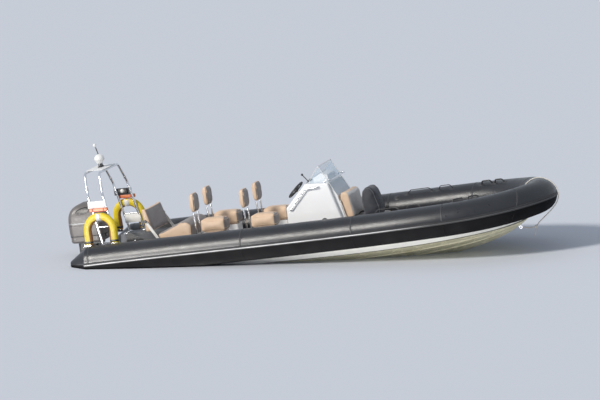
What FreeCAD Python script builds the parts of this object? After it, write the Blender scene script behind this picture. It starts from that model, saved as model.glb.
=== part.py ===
"""Rigid inflatable boat with a black collar, a V hull, a centre console, jockey seats,
an aft bench, a raked arch of steel tube and one outboard motor.

Millimetres. +X is forward, +Y is port, +Z is up. The origin is on the centreline,
on the plane of the waterline at which the boat floats at rest, half way along the boat.
"""
import FreeCAD, Part
import math
import os

V = FreeCAD.Vector

# Clearances: GAP is between pieces that stand beside each other, PIN_GAP is round a pin
GAP = 0.3
PIN_GAP = 0.08

# Collar: the centreline of one side tube from its stern end to the middle of the bow
TUBE_R = 272.0
CONE_TIP_R = 60.0
CONE_LENGTH = 330.0
#  columns: x, distance from the centreline, z
TUBE_PATH = [
    (-3895.0, 1096.0, 268.0),
    (-2200.0, 1099.0, 320.0),
    (-600.0, 1100.0, 360.0),
    (900.0, 1098.0, 406.0),
    (2150.0, 1080.0, 458.0),
    (2800.0, 985.0, 490.0),
    (3320.0, 755.0, 528.0),
    (3690.0, 405.0, 568.0),
    (3828.0, 0.0, 585.0),
]
STRAKE_WIDTH, STRAKE_PROUD, STRAKE_CHAMFER = 62.0, 22.0, 12.0
STRAKE_SUNK = 20.0

# Hull: columns are x, keel z, chine y, chine z, edge y, edge z
HULL_STATIONS = [
    (-3840.0, -450.0, 920.0, -30.0, 960.0, 185.0),
    (-2600.0, -450.0, 930.0, -26.0, 968.0, 198.0),
    (-1500.0, -449.0, 938.0, -19.0, 975.0, 212.0),
    (-400.0, -443.0, 938.0, -8.0, 976.0, 232.0),
    (600.0, -420.0, 925.0, 10.0, 968.0, 256.0),
    (1300.0, -377.0, 888.0, 32.0, 952.0, 280.0),
    (1900.0, -305.0, 815.0, 58.0, 912.0, 308.0),
    (2600.0, -185.0, 625.0, 98.0, 800.0, 346.0),
    (3200.0, 0.0, 325.0, 152.0, 545.0, 386.0),
    (3610.0, 250.0, 40.0, 268.0, 115.0, 418.0),
]
CHINE_FLAT, CHINE_DROP = 55.0, 14.0
SPRAY_RAIL = 34.0
SPRAY_RAIL_SHARES = [0.36, 0.68]

# Cockpit
DECK_Z = 150.0
DECK_SHEET = 8.0
DECK_TOP = DECK_Z + DECK_SHEET
COCKPIT_FORE = 2330.0
COCKPIT_TAPER_X = 1500.0
COCKPIT_HALF = 810.0
COCKPIT_BOW_HALF = 650.0

# Transom with a notch for the motor
TRANSOM_X = HULL_STATIONS[0][0]
TRANSOM_THICK = 70.0
TRANSOM_TOP = 470.0
TRANSOM_LAP = 2.0
TRANSOM_HALF = TUBE_PATH[0][1] - TUBE_R + TRANSOM_LAP
MOTOR_NOTCH_HALF = 330.0
MOTOR_NOTCH_Z = 300.0
NOTCH_SLOPE = 60.0

# Eyes: steel rings on the transom and on the stem
EYE_R, EYE_BAR_R = 24.0, 8.0
EYE_PLATE = 44.0
EYE_PLATE_THICK = 6.0
STERN_EYE_Y, STERN_EYE_Z = 640.0, -60.0
STEM_EYE_Z, STEM_EYE_SUNK = 112.0, 2.0

# Motor: the tilt tube lies across the boat, the steering pivot stands aft of it
TILT_X, TILT_Z = TRANSOM_X - 92.0, 355.0
TILT_TUBE_R = 22.0
BRACKET_HALF, BRACKET_THICK = 150.0, 34.0
BRACKET_TOP, BRACKET_FOOT = 395.0, 60.0
STEER_X = TILT_X - 148.0
PIVOT_R, BARREL_R = 30.0, 50.0
BARREL_BOTTOM, BARREL_TOP = -80.0, 415.0
SWIVEL_SIDE_GAP = 6.0
LEG_HALF = 48.0
LEG_FORE, LEG_AFT = -25.0, -285.0
COLUMN_HALF = 95.0
COLUMN_FOOT = -160.0
YOKE_TOP, YOKE_BOTTOM, YOKE_HALF = 425.0, -95.0, 80.0
PLATE_Z, PLATE_THICK = -452.0, 12.0
PLATE_HALF, PLATE_AFT = 130.0, -385.0
PROP_Z = -655.0
CASE_R = 62.0
CASE_FORE, CASE_AFT = STEER_X + 150.0, STEER_X - 300.0
SKEG_BOTTOM, SKEG_THICK = -895.0, 18.0
PROP_R, PROP_HUB_R, PROP_LENGTH = 180.0, 58.0, 120.0
PROP_SHAFT_R = 14.0
PROP_GAP = 5.0
BLADE_R, BLADE_THICK, BLADE_PITCH = 78.0, 10.0, 38.0
BLADE_COUNT = 3

# Motor covers
COWL_AFT, COWL_FORE = -4555.0, TRANSOM_X - 100.0
COWL_BOTTOM, COWL_SPLIT, COWL_TOP = 470.0, 600.0, 1150.0
COWL_HALF, COWL_WALL = 245.0, 14.0
COWL_CORNER = 95.0
PAN_INSET, PAN_ROUND = 14.0, 40.0
#  columns: z, inset of the aft face, inset of the fore face, half width, corner radius
COWL_RINGS = [
    (COWL_SPLIT, 8.0, 0.0, COWL_HALF, COWL_CORNER),
    (720.0, 0.0, 0.0, COWL_HALF, COWL_CORNER),
    (880.0, 4.0, 10.0, 240.0, COWL_CORNER),
    (990.0, 28.0, 40.0, 222.0, COWL_CORNER),
    (1070.0, 85.0, 95.0, 185.0, 90.0),
    (1120.0, 170.0, 185.0, 135.0, 75.0),
    (COWL_TOP, 248.0, 252.0, 70.0, 45.0),
]
POWERHEAD_INSET = 60.0
POWERHEAD_TOP = 920.0

# Arch: two hoops of steel tube, raked aft and splayed, on the quarter lockers
ARCH_TUBE_R = 21.0
ARCH_TOP_Z = 1700.0
ARCH_KNEE_Z, ARCH_KNEE_HALF = 1360.0, 625.0
ARCH_SPLAY, ARCH_TOP_SPLAY = 0.06, 0.48
ARCH_RAKE = 0.20
ARCH_BEND, ARCH_KNEE_BEND = 110.0, 260.0
#  columns: name, x at the top
ARCH_HOOPS = [("aft", -4015.0), ("fore", -3750.0)]
ARCH_FOOT_R, ARCH_FOOT_H = 45.0, 10.0
ARCH_BAR_Z, ARCH_BAR_R = 790.0, 13.0
ROOF_PLATE_HALF, ROOF_PLATE_THICK = 310.0, 8.0
ROOF_PLATE_OVER = 26.0

# Quarter lockers, one on each side of the motor well, and the plates on them
QUARTER_TOP = TRANSOM_TOP
QUARTER_FORE = -2900.0
QUARTER_INNER, QUARTER_OUTER = 480.0, 790.0
QUARTER_PLATE_Y, QUARTER_PLATE_THICK = 780.0, 12.0
QUARTER_PLATE_SIDE = [(-3300.0, 0.0), (-3285.0, 235.0), (-2905.0, 25.0), (-2905.0, 0.0)]

# Aerial dome and all-round light on the arch
DOME_X = -3890.0
DOME_R, DOME_BASE_R, DOME_HEIGHT = 90.0, 50.0, 170.0
DOME_POST_R, DOME_POST_H = 32.0, 70.0
LIGHT_FOOT_X, LIGHT_Y = -3890.0, 120.0
LIGHT_TOP_X, LIGHT_TOP_Z = -3988.0, 2100.0
LIGHT_POLE_R, LIGHT_BALL_R = 9.0, 30.0
LIGHT_BASE_R, LIGHT_BASE_H = 24.0, 14.0

# Horseshoe lifebuoys on the outer sides of the arch, with a nameless plate and a light above
BUOY_HEIGHT, BUOY_WIDTH = 575.0, 640.0
BUOY_BAND, BUOY_THICK, BUOY_ROUND = 145.0, 105.0, 38.0
BUOY_X = -3762.0
SIDE_PLATE_AFT, SIDE_PLATE_FORE = -3960.0, -3635.0
SIDE_PLATE_BOTTOM, SIDE_PLATE_TOP, SIDE_PLATE_THICK = 1120.0, 1240.0, 6.0
LIGHT_PACK_HALF, LIGHT_PACK_HEIGHT, LIGHT_PACK_THICK = 165.0, 60.0, 60.0

# Jockey seats: rows of two, each with a padded back on two posts
SEAT_Y = 345.0
#  columns: x of the padded back
SEAT_ROWS = [-2150.0, -1245.0]
SEAT_START, SEAT_LENGTH, SEAT_WIDTH = 92.0, 465.0, 300.0
SEAT_TOP, SEAT_CUSHION_H = 745.0, 235.0
SEAT_ROUND = 45.0
POD_INSET_X, POD_INSET_Y = 30.0, 25.0
PAD_WIDTH, PAD_THICK, PAD_ROUND = 310.0, 92.0, 40.0
PAD_BOTTOM, PAD_TOP = 855.0, 1212.0
POST_R, POST_SPREAD, POST_LEAN = 14.0, 105.0, 28.0
POST_FOOT_R, POST_FOOT_H = 34.0, 8.0

# Aft bench with a back on two side arms
BENCH_HALF = 430.0
BENCH_AFT, BENCH_FORE, BENCH_BASE_TOP = -2870.0, -2270.0, 450.0
BENCH_OVER, BENCH_ROUND = 22.0, 32.0
#  columns: x, z, round the cushion from its lower aft corner
BENCH_CUSHION_SIDE = [(-2870.0, BENCH_BASE_TOP), (-2880.0, 545.0), (-2780.0, 560.0), (-2400.0, 722.0),
                      (-2290.0, 725.0), (-2215.0, 660.0), (-2230.0, BENCH_BASE_TOP)]
BENCH_BACK_SIDE = [(-3068.0, 575.0), (-3120.0, 1000.0), (-3038.0, 1005.0), (-2915.0, 575.0)]
ARM_WIDTH, ARM_THICK = 46.0, 10.0
ARM_TOP, ARM_FOOT = (-3035.0, 790.0), (-2800.0, 400.0)
ARM_BOLT_R, ARM_BOLT_HEAD = 14.0, 8.0

# Console: columns are x, z, from the foot of the aft face round to the foot of the front face
CONSOLE_HALF = 420.0
CONSOLE_WALL, CONSOLE_ROUND = 12.0, 24.0
CONSOLE_SIDE = [(-500.0, DECK_TOP), (-500.0, 800.0), (-115.0, 1185.0), (290.0, 1165.0), (575.0, DECK_TOP)]
NOSE_HALF = 352.0
NOSE_SIDE = [(290.0, 1165.0), (416.0, 930.0), (520.0, 480.0), (520.0, DECK_TOP), (250.0, DECK_TOP), (250.0, 1165.0)]

# What stands on the sloping dash, measured along the slope from its lower edge
WHEEL_R, WHEEL_RIM_R = 175.0, 15.0
WHEEL_Y = -150.0
WHEEL_ALONG, WHEEL_STANDOFF = 275.0, 98.0
WHEEL_HUB_R, WHEEL_SHAFT_R, WHEEL_SPOKE_R = 36.0, 12.0, 8.0
WHEEL_SPOKES = 3
BOSS_R, BOSS_H, BOSS_FLOOR = 30.0, 48.0, 12.0
THROTTLE_ALONG, THROTTLE_Y = 430.0, 150.0
THROTTLE_LENGTH, THROTTLE_WIDTH, THROTTLE_H = 130.0, 80.0, 62.0
LEVER_R, LEVER_H, KNOB_R = 8.0, 150.0, 20.0

# Instrument pod, windscreen and rails of the console
POD_SIDE = [(-70.0, 0.0), (-80.0, 40.0), (50.0, 118.0), (185.0, 95.0), (205.0, 0.0)]
POD_Y0, POD_Y1, POD_ROUND = -60.0, 335.0, 16.0
GLASS = 6.0
SCREEN_HALF = 360.0
SCREEN_FOOT, SCREEN_TOP = (418.0, 930.0), (133.0, 1460.0)
WING_AFT_X, WING_AFT_Z = -40.0, 1228.0
RAIL_R, RAIL_BEND = 11.0, 26.0
RAIL_Y, RAIL_Z, RAIL_AFT, RAIL_FORE = 395.0, 1218.0, 235.0, 352.0
SIDE_RAIL_OFF, SIDE_RAIL_BEND = 38.0, 60.0
#  columns: x, z of the side rail from its lower end
SIDE_RAIL = [(-420.0, 765.0), (-100.0, 1100.0), (130.0, 1120.0)]

# Seat on the front of the console, and the raft valise that stands on it
FRONT_HALF = 330.0
FRONT_SEAT_FORE = 1120.0
FRONT_BASE_TOP, FRONT_BASE_INSET, FRONT_CUSHION_TOP = 420.0, 20.0, 520.0
#  columns: x, z, from the lower aft corner; the aft face lies on the console's nose
FRONT_BACK_SIDE = [(507.8, 535.0), (428.0, 880.0), (455.0, 985.0), (560.0, 985.0), (600.0, 940.0), (665.0, 535.0)]
VALISE_SIDE = [(800.0, 0.0), (775.0, 300.0), (800.0, 430.0), (870.0, 500.0), (960.0, 500.0), (1030.0, 420.0),
               (1110.0, 150.0), (1100.0, 0.0)]
VALISE_Y0, VALISE_Y1, VALISE_ROUND = -260.0, 110.0, 55.0
FRONT_BACK_ROUND = 24.0

# Hatch in the foredeck, between two of the hull's stations, and measured along the slope from the first
HATCH_STATIONS = HULL_STATIONS[-3:-1]
HATCH_SEAT = 70.0
HATCH_AFT, HATCH_FORE, HATCH_HALF = 60.0, 470.0, 210.0
HATCH_THICK, HATCH_LAP = 18.0, 30.0
LOCKER_FLOOR_Z = 175.0
HINGE_Y, HINGE_PIN_R, KNUCKLE_R = 130.0, 5.0, 11.0
KNUCKLE_LENGTH, HINGE_EAR = 50.0, 12.0
HINGE_AHEAD, HINGE_UP = 24.0, 20.0

# Cleat on the foredeck, from which the painter starts
CLEAT_X, CLEAT_Z = 3265.0, 446.0
CLEAT_BASE, CLEAT_POST_R, CLEAT_HORN_R, CLEAT_HALF = 45.0, 14.0, 10.0, 85.0

# Handles on the collar: columns are x of the aft end, x of the fore end, height, bar radius
COLLAR_HANDLES = [(1230.0, 1700.0, 62.0, 7.0), (1800.0, 2060.0, 68.0, 7.0),
                  (2600.0, 2830.0, 58.0, 12.0), (2870.0, 3080.0, 58.0, 12.0)]
HANDLE_CLOCK = 24.0

# Painter: a rope from the cleat over the bow, down to a knot and a short free tail
ROPE_R = 10.0
#  columns: x, y, z
PAINTER_ROUTE = [
    (CLEAT_X + CLEAT_POST_R + 5.0, 0.0, 448.0),
    (3370.0, 2.0, 491.0),
    (3462.0, 6.0, 577.0),
    (3530.0, 4.0, 700.0),
    (3618.0, -3.0, 813.0),
    (3745.0, -6.0, 888.0),
    (3890.0, -2.0, 896.0),
    (4030.0, 4.0, 834.0),
    (4130.0, 6.0, 722.0),
    (4164.0, 3.0, 578.0),
    (4104.0, -2.0, 430.0),
    (3968.0, -4.0, 306.0),
    (3862.0, 0.0, 222.0),
    (3762.0, 4.0, 146.0),
    (3702.0, 3.0, 70.0),
    (3672.0, 0.0, -12.0),
    (3660.0, -4.0, -96.0),
]
KNOT_R, KNOT_LENGTH = 24.0, 46.0
KNOT_POINTS = PAINTER_ROUTE[13:16]
STROP_SAG = 16.0

PARTS = {}


def box(x0, x1, y0, y1, z0, z1):
    return Part.makeBox(x1 - x0, y1 - y0, z1 - z0, V(x0, y0, z0))


def rounded_box(x0, x1, y0, y1, z0, z1, radius, keep_edge=None):
    """A box with its edges rounded: all of them, or those that keep_edge picks by direction."""
    block = box(x0, x1, y0, y1, z0, z1)
    edges = block.Edges
    if keep_edge:
        edges = [e for e in edges if abs((e.Vertexes[1].Point - e.Vertexes[0].Point).normalize().dot(keep_edge)) > 0.9]
    return block.makeFillet(radius, edges)


def softened(shape, radius, wanted=lambda edge: True):
    """Rounds the wanted edges of a shape."""
    return shape.makeFillet(radius, [e for e in shape.Edges if wanted(e)])


def outline_face(points):
    return Part.Face(Part.makePolygon(points + points[:1]))


def prism_xz(points, y0, y1):
    """A solid whose side view is the given outline."""
    return outline_face([V(x, y0, z) for x, z in points]).extrude(V(0, y1 - y0, 0))


def prism_yz(points, x0, x1):
    """A solid whose end view is the given outline."""
    return outline_face([V(x0, y, z) for y, z in points]).extrude(V(x1 - x0, 0, 0))


def prism_xy(points, z0, z1):
    """A solid whose plan is the given outline."""
    return outline_face([V(x, y, z0) for x, y in points]).extrude(V(0, 0, z1 - z0))


def rod(a, b, radius):
    a, b = V(*a), V(*b)
    return Part.makeCylinder(radius, (b - a).Length, a, b - a)


def mirrored(shape):
    return shape.mirror(V(0, 0, 0), V(0, 1, 0))


def both_sides(shape):
    return Part.makeCompound([shape, mirrored(shape)])


def fused(shapes):
    out = shapes[0].multiFuse(shapes[1:]) if len(shapes) > 1 else shapes[0]
    return out.removeSplitter()


def bent_path(points, bends):
    """Straight runs joined by tangent arcs; bends holds one radius for each inner point."""
    pts = [V(*p) for p in points]
    edges, start = [], pts[0]
    for i in range(1, len(pts) - 1):
        before = (pts[i - 1] - pts[i]).normalize()
        after = (pts[i + 1] - pts[i]).normalize()
        half = before.getAngle(after) / 2
        back = bends[i - 1] / math.tan(half)
        a, b = pts[i] + before * back, pts[i] + after * back
        middle = (before + after).normalize()
        centre = pts[i] + middle * (bends[i - 1] / math.sin(half))
        edges.append(Part.LineSegment(start, a).toShape())
        edges.append(Part.Arc(a, centre - middle * bends[i - 1], b).toShape())
        start = b
    edges.append(Part.LineSegment(start, pts[-1]).toShape())
    return Part.Wire(edges)


def bent_tube(points, radius, bend):
    """A round bar that follows the points; bend is one radius for all corners, or a list."""
    bends = bend if isinstance(bend, list) else [bend] * (len(points) - 2)
    first = V(*points[1]) - V(*points[0])
    profile = Part.Wire(Part.makeCircle(radius, V(*points[0]), first))
    return bent_path(points, bends).makePipeShell([profile], True, True)


def keep(name, shape):
    PARTS[name] = shape


def half_space(point, normal):
    """A block that fills the side of a plane to which its normal points."""
    size = 6 * TUBE_R
    block = Part.makeBox(size, size, size, V(-size / 2, -size / 2, 0))
    turn = FreeCAD.Rotation(V(0, 0, 1), normal)
    block.Placement = FreeCAD.Placement(point, turn).multiply(block.Placement)
    return block


def collar_line():
    """A smooth curve from the starboard stern round the bow to the port stern."""
    starboard = [V(x, -y, z) for x, y, z in TUBE_PATH]
    curve = Part.BSplineCurve()
    curve.interpolate(starboard + [V(p.x, -p.y, p.z) for p in reversed(starboard[:-1])])
    return curve


def stern_frame(curve):
    """The curve's start with the directions along it and out of the boat."""
    start, along = curve.value(curve.FirstParameter), curve.tangent(curve.FirstParameter)[0]
    return start, along, along.cross(V(0, 0, 1)).normalize()


def round_sweep(radius):
    curve = collar_line()
    start, along, _ = stern_frame(curve)
    return Part.Wire(curve.toShape()).makePipeShell([Part.Wire(Part.makeCircle(radius, start, along))], True, False)


def make_collar():
    start, along, _ = stern_frame(collar_line())
    cone = Part.makeCone(CONE_TIP_R, TUBE_R, CONE_LENGTH, start - along * CONE_LENGTH, along)
    return fused([round_sweep(TUBE_R), cone, mirrored(cone)])


def make_strake():
    """A chamfered band that stands proud of the collar at mid height, all round the boat."""
    curve = collar_line()
    start, along, out = stern_frame(curve)
    half, face = STRAKE_WIDTH / 2, TUBE_R + STRAKE_PROUD
    side = [(TUBE_R - STRAKE_SUNK, -half), (face - STRAKE_CHAMFER, -half), (face, -half + STRAKE_CHAMFER)]
    corners = [start + out * o + V(0, 0, z) for o, z in side + [(o, -z) for o, z in reversed(side)]]
    sweep = Part.BRepOffsetAPI.MakePipeShell(Part.Wire(curve.toShape()))
    sweep.setBiNormalMode(V(0, 0, 1))
    sweep.add(Part.makePolygon(corners + corners[:1]), False, False)
    sweep.build()
    sweep.makeSolid()
    end = Part.makeCylinder(TUBE_R + GAP, STRAKE_WIDTH, start - along * STRAKE_WIDTH, along)
    return sweep.shape().cut(round_sweep(TUBE_R + GAP)).cut(end).cut(mirrored(end))


def tube_at(x):
    """The starboard tube's centre and direction at a place along the boat."""
    curve = collar_line()
    low, high = curve.FirstParameter, (curve.FirstParameter + curve.LastParameter) / 2
    for _ in range(30):
        middle = (low + high) / 2
        low, high = (middle, high) if curve.value(middle).x < x else (low, middle)
    return curve.value(low), curve.tangent(low)[0]


def above_tube(x, clock, height):
    """A point above the starboard tube, clock degrees inboard of its crown."""
    centre, along = tube_at(x)
    inboard = V(0, 0, 1).cross(along).normalize()
    crown = along.cross(inboard)
    turn = math.radians(clock)
    return centre + (crown * math.cos(turn) + inboard * math.sin(turn)) * (TUBE_R + height)


def tube_handle(x0, x1, height, radius):
    """A bar handle that stands on the starboard tube."""
    lean = (x1 - x0) * 0.16
    points = [above_tube(x0, HANDLE_CLOCK, -radius), above_tube(x0 + lean, HANDLE_CLOCK, height),
              above_tube(x1 - lean, HANDLE_CLOCK, height), above_tube(x1, HANDLE_CLOCK, -radius)]
    return bent_tube(points, radius, height * 0.7)


def fair_line(points):
    """A smooth curve through points."""
    curve = Part.BSplineCurve()
    curve.interpolate(list(points))
    return curve


def fair_solid(rings):
    """A solid with a smooth line through each corner of its rings and ruled faces between the lines."""
    lines = []
    for track in zip(*rings):
        lines.append(fair_line(track).toShape())
    sides = [Part.makeRuledSurface(a, b) for a, b in zip(lines, lines[1:] + lines[:1])]
    shell = Part.makeShell(sides + [outline_face(rings[0]), outline_face(rings[-1])])
    shell.sewShape()
    solid = Part.makeSolid(Part.Shell(shell.Faces))
    return solid if solid.Volume > 0 else solid.reversed()


def chine_inner(chine_y, chine_z):
    """The inner edge of the chine flat, which narrows towards the stem."""
    flat = CHINE_FLAT * min(1.0, chine_y / 500.0)
    return chine_y - flat, chine_z - CHINE_DROP * flat / CHINE_FLAT


def spray_rail(share):
    """A stepped rail under the bottom, at a share of the way from keel to chine."""
    rings = []
    for x, keel, chine_y, chine_z, _, _ in HULL_STATIONS[:-1]:
        y, z = chine_inner(chine_y, chine_z)
        along = V(0, y, z - keel)
        width = SPRAY_RAIL * min(1.0, along.Length / 700.0)
        inner = V(x, 0, keel) + along * share
        outer = inner + along.normalize() * width
        lift = V(0, 0, width)
        rings.append([inner, V(x, outer.y, inner.z), outer + lift, inner + lift])
    return fair_solid(rings)


def make_hull():
    rings = []
    for x, keel, chine_y, chine_z, edge_y, edge_z in HULL_STATIONS:
        half = [chine_inner(chine_y, chine_z), (chine_y, chine_z), (edge_y, edge_z)]
        rings.append([V(x, y, z) for y, z in [(0.0, keel)] + half + [(-y, z) for y, z in reversed(half)]])
    rails = [spray_rail(share) for share in SPRAY_RAIL_SHARES]
    return fused([fair_solid(rings)] + rails + [mirrored(r) for r in rails])


def cockpit_plan():
    aft = TRANSOM_X + TRANSOM_THICK
    half = [(aft, COCKPIT_HALF), (COCKPIT_TAPER_X, COCKPIT_HALF), (COCKPIT_FORE, COCKPIT_BOW_HALF)]
    return half + [(x, -y) for x, y in reversed(half)]


def foredeck(shape):
    """Sets a shape, drawn with the foredeck as its level plane, down on the foredeck."""
    (x0, _, _, _, _, z0), (x1, _, _, _, _, z1) = HATCH_STATIONS
    slope = math.degrees(math.atan2(z1 - z0, x1 - x0))
    shape.rotate(V(0, 0, 0), V(0, 1, 0), -slope)
    shape.translate(V(x0, 0, z0))
    return shape


def build_shell():
    hull = make_hull()
    hull = hull.cut(prism_xy(cockpit_plan(), DECK_Z, TRANSOM_TOP * 2))
    lip = HATCH_LAP
    depth = HATCH_STATIONS[0][5] - LOCKER_FLOOR_Z
    flat = foredeck(box(HATCH_AFT - lip, HATCH_FORE + HATCH_SEAT, -HATCH_HALF - lip, HATCH_HALF + lip, 0, HATCH_SEAT))
    hull = hull.cut(flat)
    hull = hull.cut(foredeck(box(HATCH_AFT + lip, HATCH_FORE - lip, -HATCH_HALF + lip, HATCH_HALF - lip, -depth, depth)))
    collar = make_collar().cut(hull)
    keep("hull", hull)
    keep("collar", collar)
    keep("rubbing_strake", make_strake())
    keep("deck", prism_xy(cockpit_plan(), DECK_Z, DECK_TOP).cut(collar))
    half = [(TRANSOM_HALF, 0.0), (TRANSOM_HALF, TRANSOM_TOP), (MOTOR_NOTCH_HALF + NOTCH_SLOPE, TRANSOM_TOP),
            (MOTOR_NOTCH_HALF, MOTOR_NOTCH_Z)]
    board = prism_yz(half + [(-y, z) for y, z in reversed(half)], TRANSOM_X, TRANSOM_X + TRANSOM_THICK)
    keep("transom", board.cut(hull).cut(collar))
    lockers = box(TRANSOM_X + TRANSOM_THICK, QUARTER_FORE, QUARTER_INNER, QUARTER_OUTER, DECK_TOP, QUARTER_TOP)
    keep("quarter_lockers", both_sides(lockers.cut(collar)))


def eye_ring(centre, out):
    """A ring across the boat on a shank and a square plate; out points away from the hull."""
    out = out.normalize()
    half = V(0, EYE_BAR_R, 0)
    ring = Part.makeCylinder(EYE_R + EYE_BAR_R, 2 * EYE_BAR_R, centre - half, V(0, 1, 0))
    ring = ring.makeFillet(EYE_BAR_R * 0.6, [e for e in ring.Edges if e.Curve.TypeId == "Part::GeomCircle"])
    hole = Part.makeCylinder(EYE_R - EYE_BAR_R, 4 * EYE_BAR_R, centre - half * 2, V(0, 1, 0))
    seat = centre - out * (EYE_R + EYE_BAR_R + EYE_PLATE_THICK)
    shank = Part.makeCylinder(EYE_BAR_R, EYE_PLATE_THICK + EYE_BAR_R * 1.4, seat, out)
    plate = Part.makeBox(EYE_PLATE, EYE_PLATE, EYE_PLATE_THICK, V(-EYE_PLATE / 2, -EYE_PLATE / 2, 0))
    plate.Placement = FreeCAD.Placement(seat, FreeCAD.Rotation(V(0, 0, 1), out)).multiply(plate.Placement)
    return fused([ring, shank, plate]).cut(hole)


def stem_eye_centre():
    """The middle of the eye that stands square off the stem."""
    keel = fair_line([V(row[0], 0, row[1]) for row in HULL_STATIONS])
    low, high = keel.FirstParameter, keel.LastParameter
    for _ in range(30):
        middle = (low + high) / 2
        low, high = (middle, high) if keel.value(middle).z < STEM_EYE_Z else (low, middle)
    along = keel.tangent(low)[0]
    out = V(along.z, 0, -along.x)
    return keel.value(low) + out * (EYE_R + EYE_BAR_R + EYE_PLATE_THICK), out


def build_eyes():
    centre, out = stem_eye_centre()
    print("stem eye at", centre - out * STEM_EYE_SUNK)
    stem = eye_ring(centre - out * STEM_EYE_SUNK, out).cut(PARTS["hull"])
    stern = eye_ring(V(TRANSOM_X - EYE_R - EYE_BAR_R - EYE_PLATE_THICK, STERN_EYE_Y, STERN_EYE_Z), V(-1, 0, 0))
    keep("towing_eyes", Part.makeCompound([stem, stern, mirrored(stern)]))


def build_bracket():
    ears = []
    for y in (-BRACKET_HALF, BRACKET_HALF - BRACKET_THICK):
        side = [(TRANSOM_X - GAP, BRACKET_FOOT), (TRANSOM_X - GAP, BRACKET_TOP), (TILT_X - 40, BRACKET_TOP),
                (TILT_X - 40, TILT_Z - 40), (TILT_X - 20, BRACKET_FOOT)]
        ears.append(prism_xz(side, y, y + BRACKET_THICK))
    tube = rod((TILT_X, -BRACKET_HALF - 20, TILT_Z), (TILT_X, BRACKET_HALF + 20, TILT_Z), TILT_TUBE_R)
    keep("clamp_bracket", fused(ears + [tube]))

    half = BRACKET_HALF - BRACKET_THICK - SWIVEL_SIDE_GAP
    side = prism_xz([(TILT_X + 38, TILT_Z + 32), (STEER_X, BARREL_TOP), (STEER_X, BARREL_BOTTOM),
                     (TILT_X - 20, BRACKET_FOOT), (TILT_X + 38, TILT_Z - 60)], -half, half)
    plan = prism_xy([(TILT_X + 40, -half), (TILT_X - 30, -half), (STEER_X, -BARREL_R + 4),
                     (STEER_X, BARREL_R - 4), (TILT_X - 30, half), (TILT_X + 40, half)], BARREL_BOTTOM, BARREL_TOP)
    barrel = rod((STEER_X, 0, BARREL_BOTTOM), (STEER_X, 0, BARREL_TOP), BARREL_R)
    swivel = fused([side.common(plan), barrel])
    swivel = swivel.cut(rod((TILT_X, -half * 2, TILT_Z), (TILT_X, half * 2, TILT_Z), TILT_TUBE_R + PIN_GAP))
    keep("swivel_bracket", swivel.cut(rod((STEER_X, 0, YOKE_BOTTOM), (STEER_X, 0, YOKE_TOP), PIVOT_R + PIN_GAP)))


def about_pivot(points):
    return [(STEER_X + x, y) for x, y in points]


def build_leg():
    yoke = box(STEER_X - 100, STEER_X + 60, -YOKE_HALF, YOKE_HALF, YOKE_TOP, COWL_BOTTOM - GAP)
    pivot = rod((STEER_X, 0, YOKE_BOTTOM - 20), (STEER_X, 0, YOKE_TOP + 20), PIVOT_R)
    foot = box(STEER_X - 100, STEER_X + 42, -42, 42, YOKE_BOTTOM - 30, YOKE_BOTTOM)
    column = [(-62.0, -50.0), (-170.0, -COLUMN_HALF), (-330.0, -COLUMN_HALF), (-385.0, -50.0)]
    column = prism_xy(about_pivot(column + [(x, -y) for x, y in reversed(column)]), COLUMN_FOOT, COWL_BOTTOM - GAP)
    leg = [(LEG_FORE, -6.0), (LEG_FORE - 60, -LEG_HALF), (LEG_AFT + 110, -LEG_HALF), (LEG_AFT, -12.0)]
    plan = about_pivot(leg + [(x, -y) for x, y in reversed(leg)])
    plate_top = PLATE_Z + PLATE_THICK / 2
    keep("mid_section", fused([yoke, pivot, foot, column, prism_xy(plan, plate_top, YOKE_BOTTOM - 10)]))

    plate = [(LEG_FORE + 30, -30.0), (LEG_FORE - 90, -PLATE_HALF + 25), (PLATE_AFT, -PLATE_HALF), (PLATE_AFT, 0.0)]
    plate = prism_xy(about_pivot(plate + [(x, -y) for x, y in reversed(plate)][1:]), plate_top - PLATE_THICK, plate_top)
    strut = prism_xy(plan, PROP_Z, plate_top)
    case = rod((CASE_AFT, 0, PROP_Z), (CASE_FORE, 0, PROP_Z), CASE_R)
    nose = Part.makeSphere(CASE_R, V(CASE_FORE, 0, PROP_Z))
    skeg = prism_xz([(STEER_X - 60, PROP_Z), (STEER_X - 170, SKEG_BOTTOM), (STEER_X - 265, SKEG_BOTTOM),
                     (STEER_X - 290, PROP_Z)], -SKEG_THICK / 2, SKEG_THICK / 2)
    shaft = rod((CASE_AFT, 0, PROP_Z), (CASE_AFT - PROP_GAP - PROP_LENGTH + 10, 0, PROP_Z), PROP_SHAFT_R)
    keep("gearcase", fused([plate, strut, case, nose, skeg, shaft]))

    front = CASE_AFT - PROP_GAP
    hub = rod((front, 0, PROP_Z), (front - PROP_LENGTH, 0, PROP_Z), PROP_HUB_R)
    blades = []
    for k in range(BLADE_COUNT):
        blade = Part.makeCylinder(BLADE_R, BLADE_THICK, V(-BLADE_THICK / 2, 0, PROP_R - BLADE_R), V(1, 0, 0))
        blade.rotate(V(0, 0, 0), V(0, 0, 1), BLADE_PITCH)
        blade.rotate(V(0, 0, 0), V(1, 0, 0), 360 / BLADE_COUNT * k)
        blade.translate(V(front - PROP_LENGTH / 2, 0, PROP_Z))
        blades.append(blade)
    inside = rod((front + 60, 0, PROP_Z), (front - PROP_LENGTH * 1.5, 0, PROP_Z), PROP_HUB_R - 4)
    bore = rod((front, 0, PROP_Z), (front - PROP_LENGTH + 10 - PROP_GAP, 0, PROP_Z), PROP_SHAFT_R + PIN_GAP)
    blades = [b.cut(half_space(V(front, 0, 0), V(1, 0, 0))).cut(inside) for b in blades]
    keep("propeller", fused([hub] + blades).cut(bore))


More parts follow.
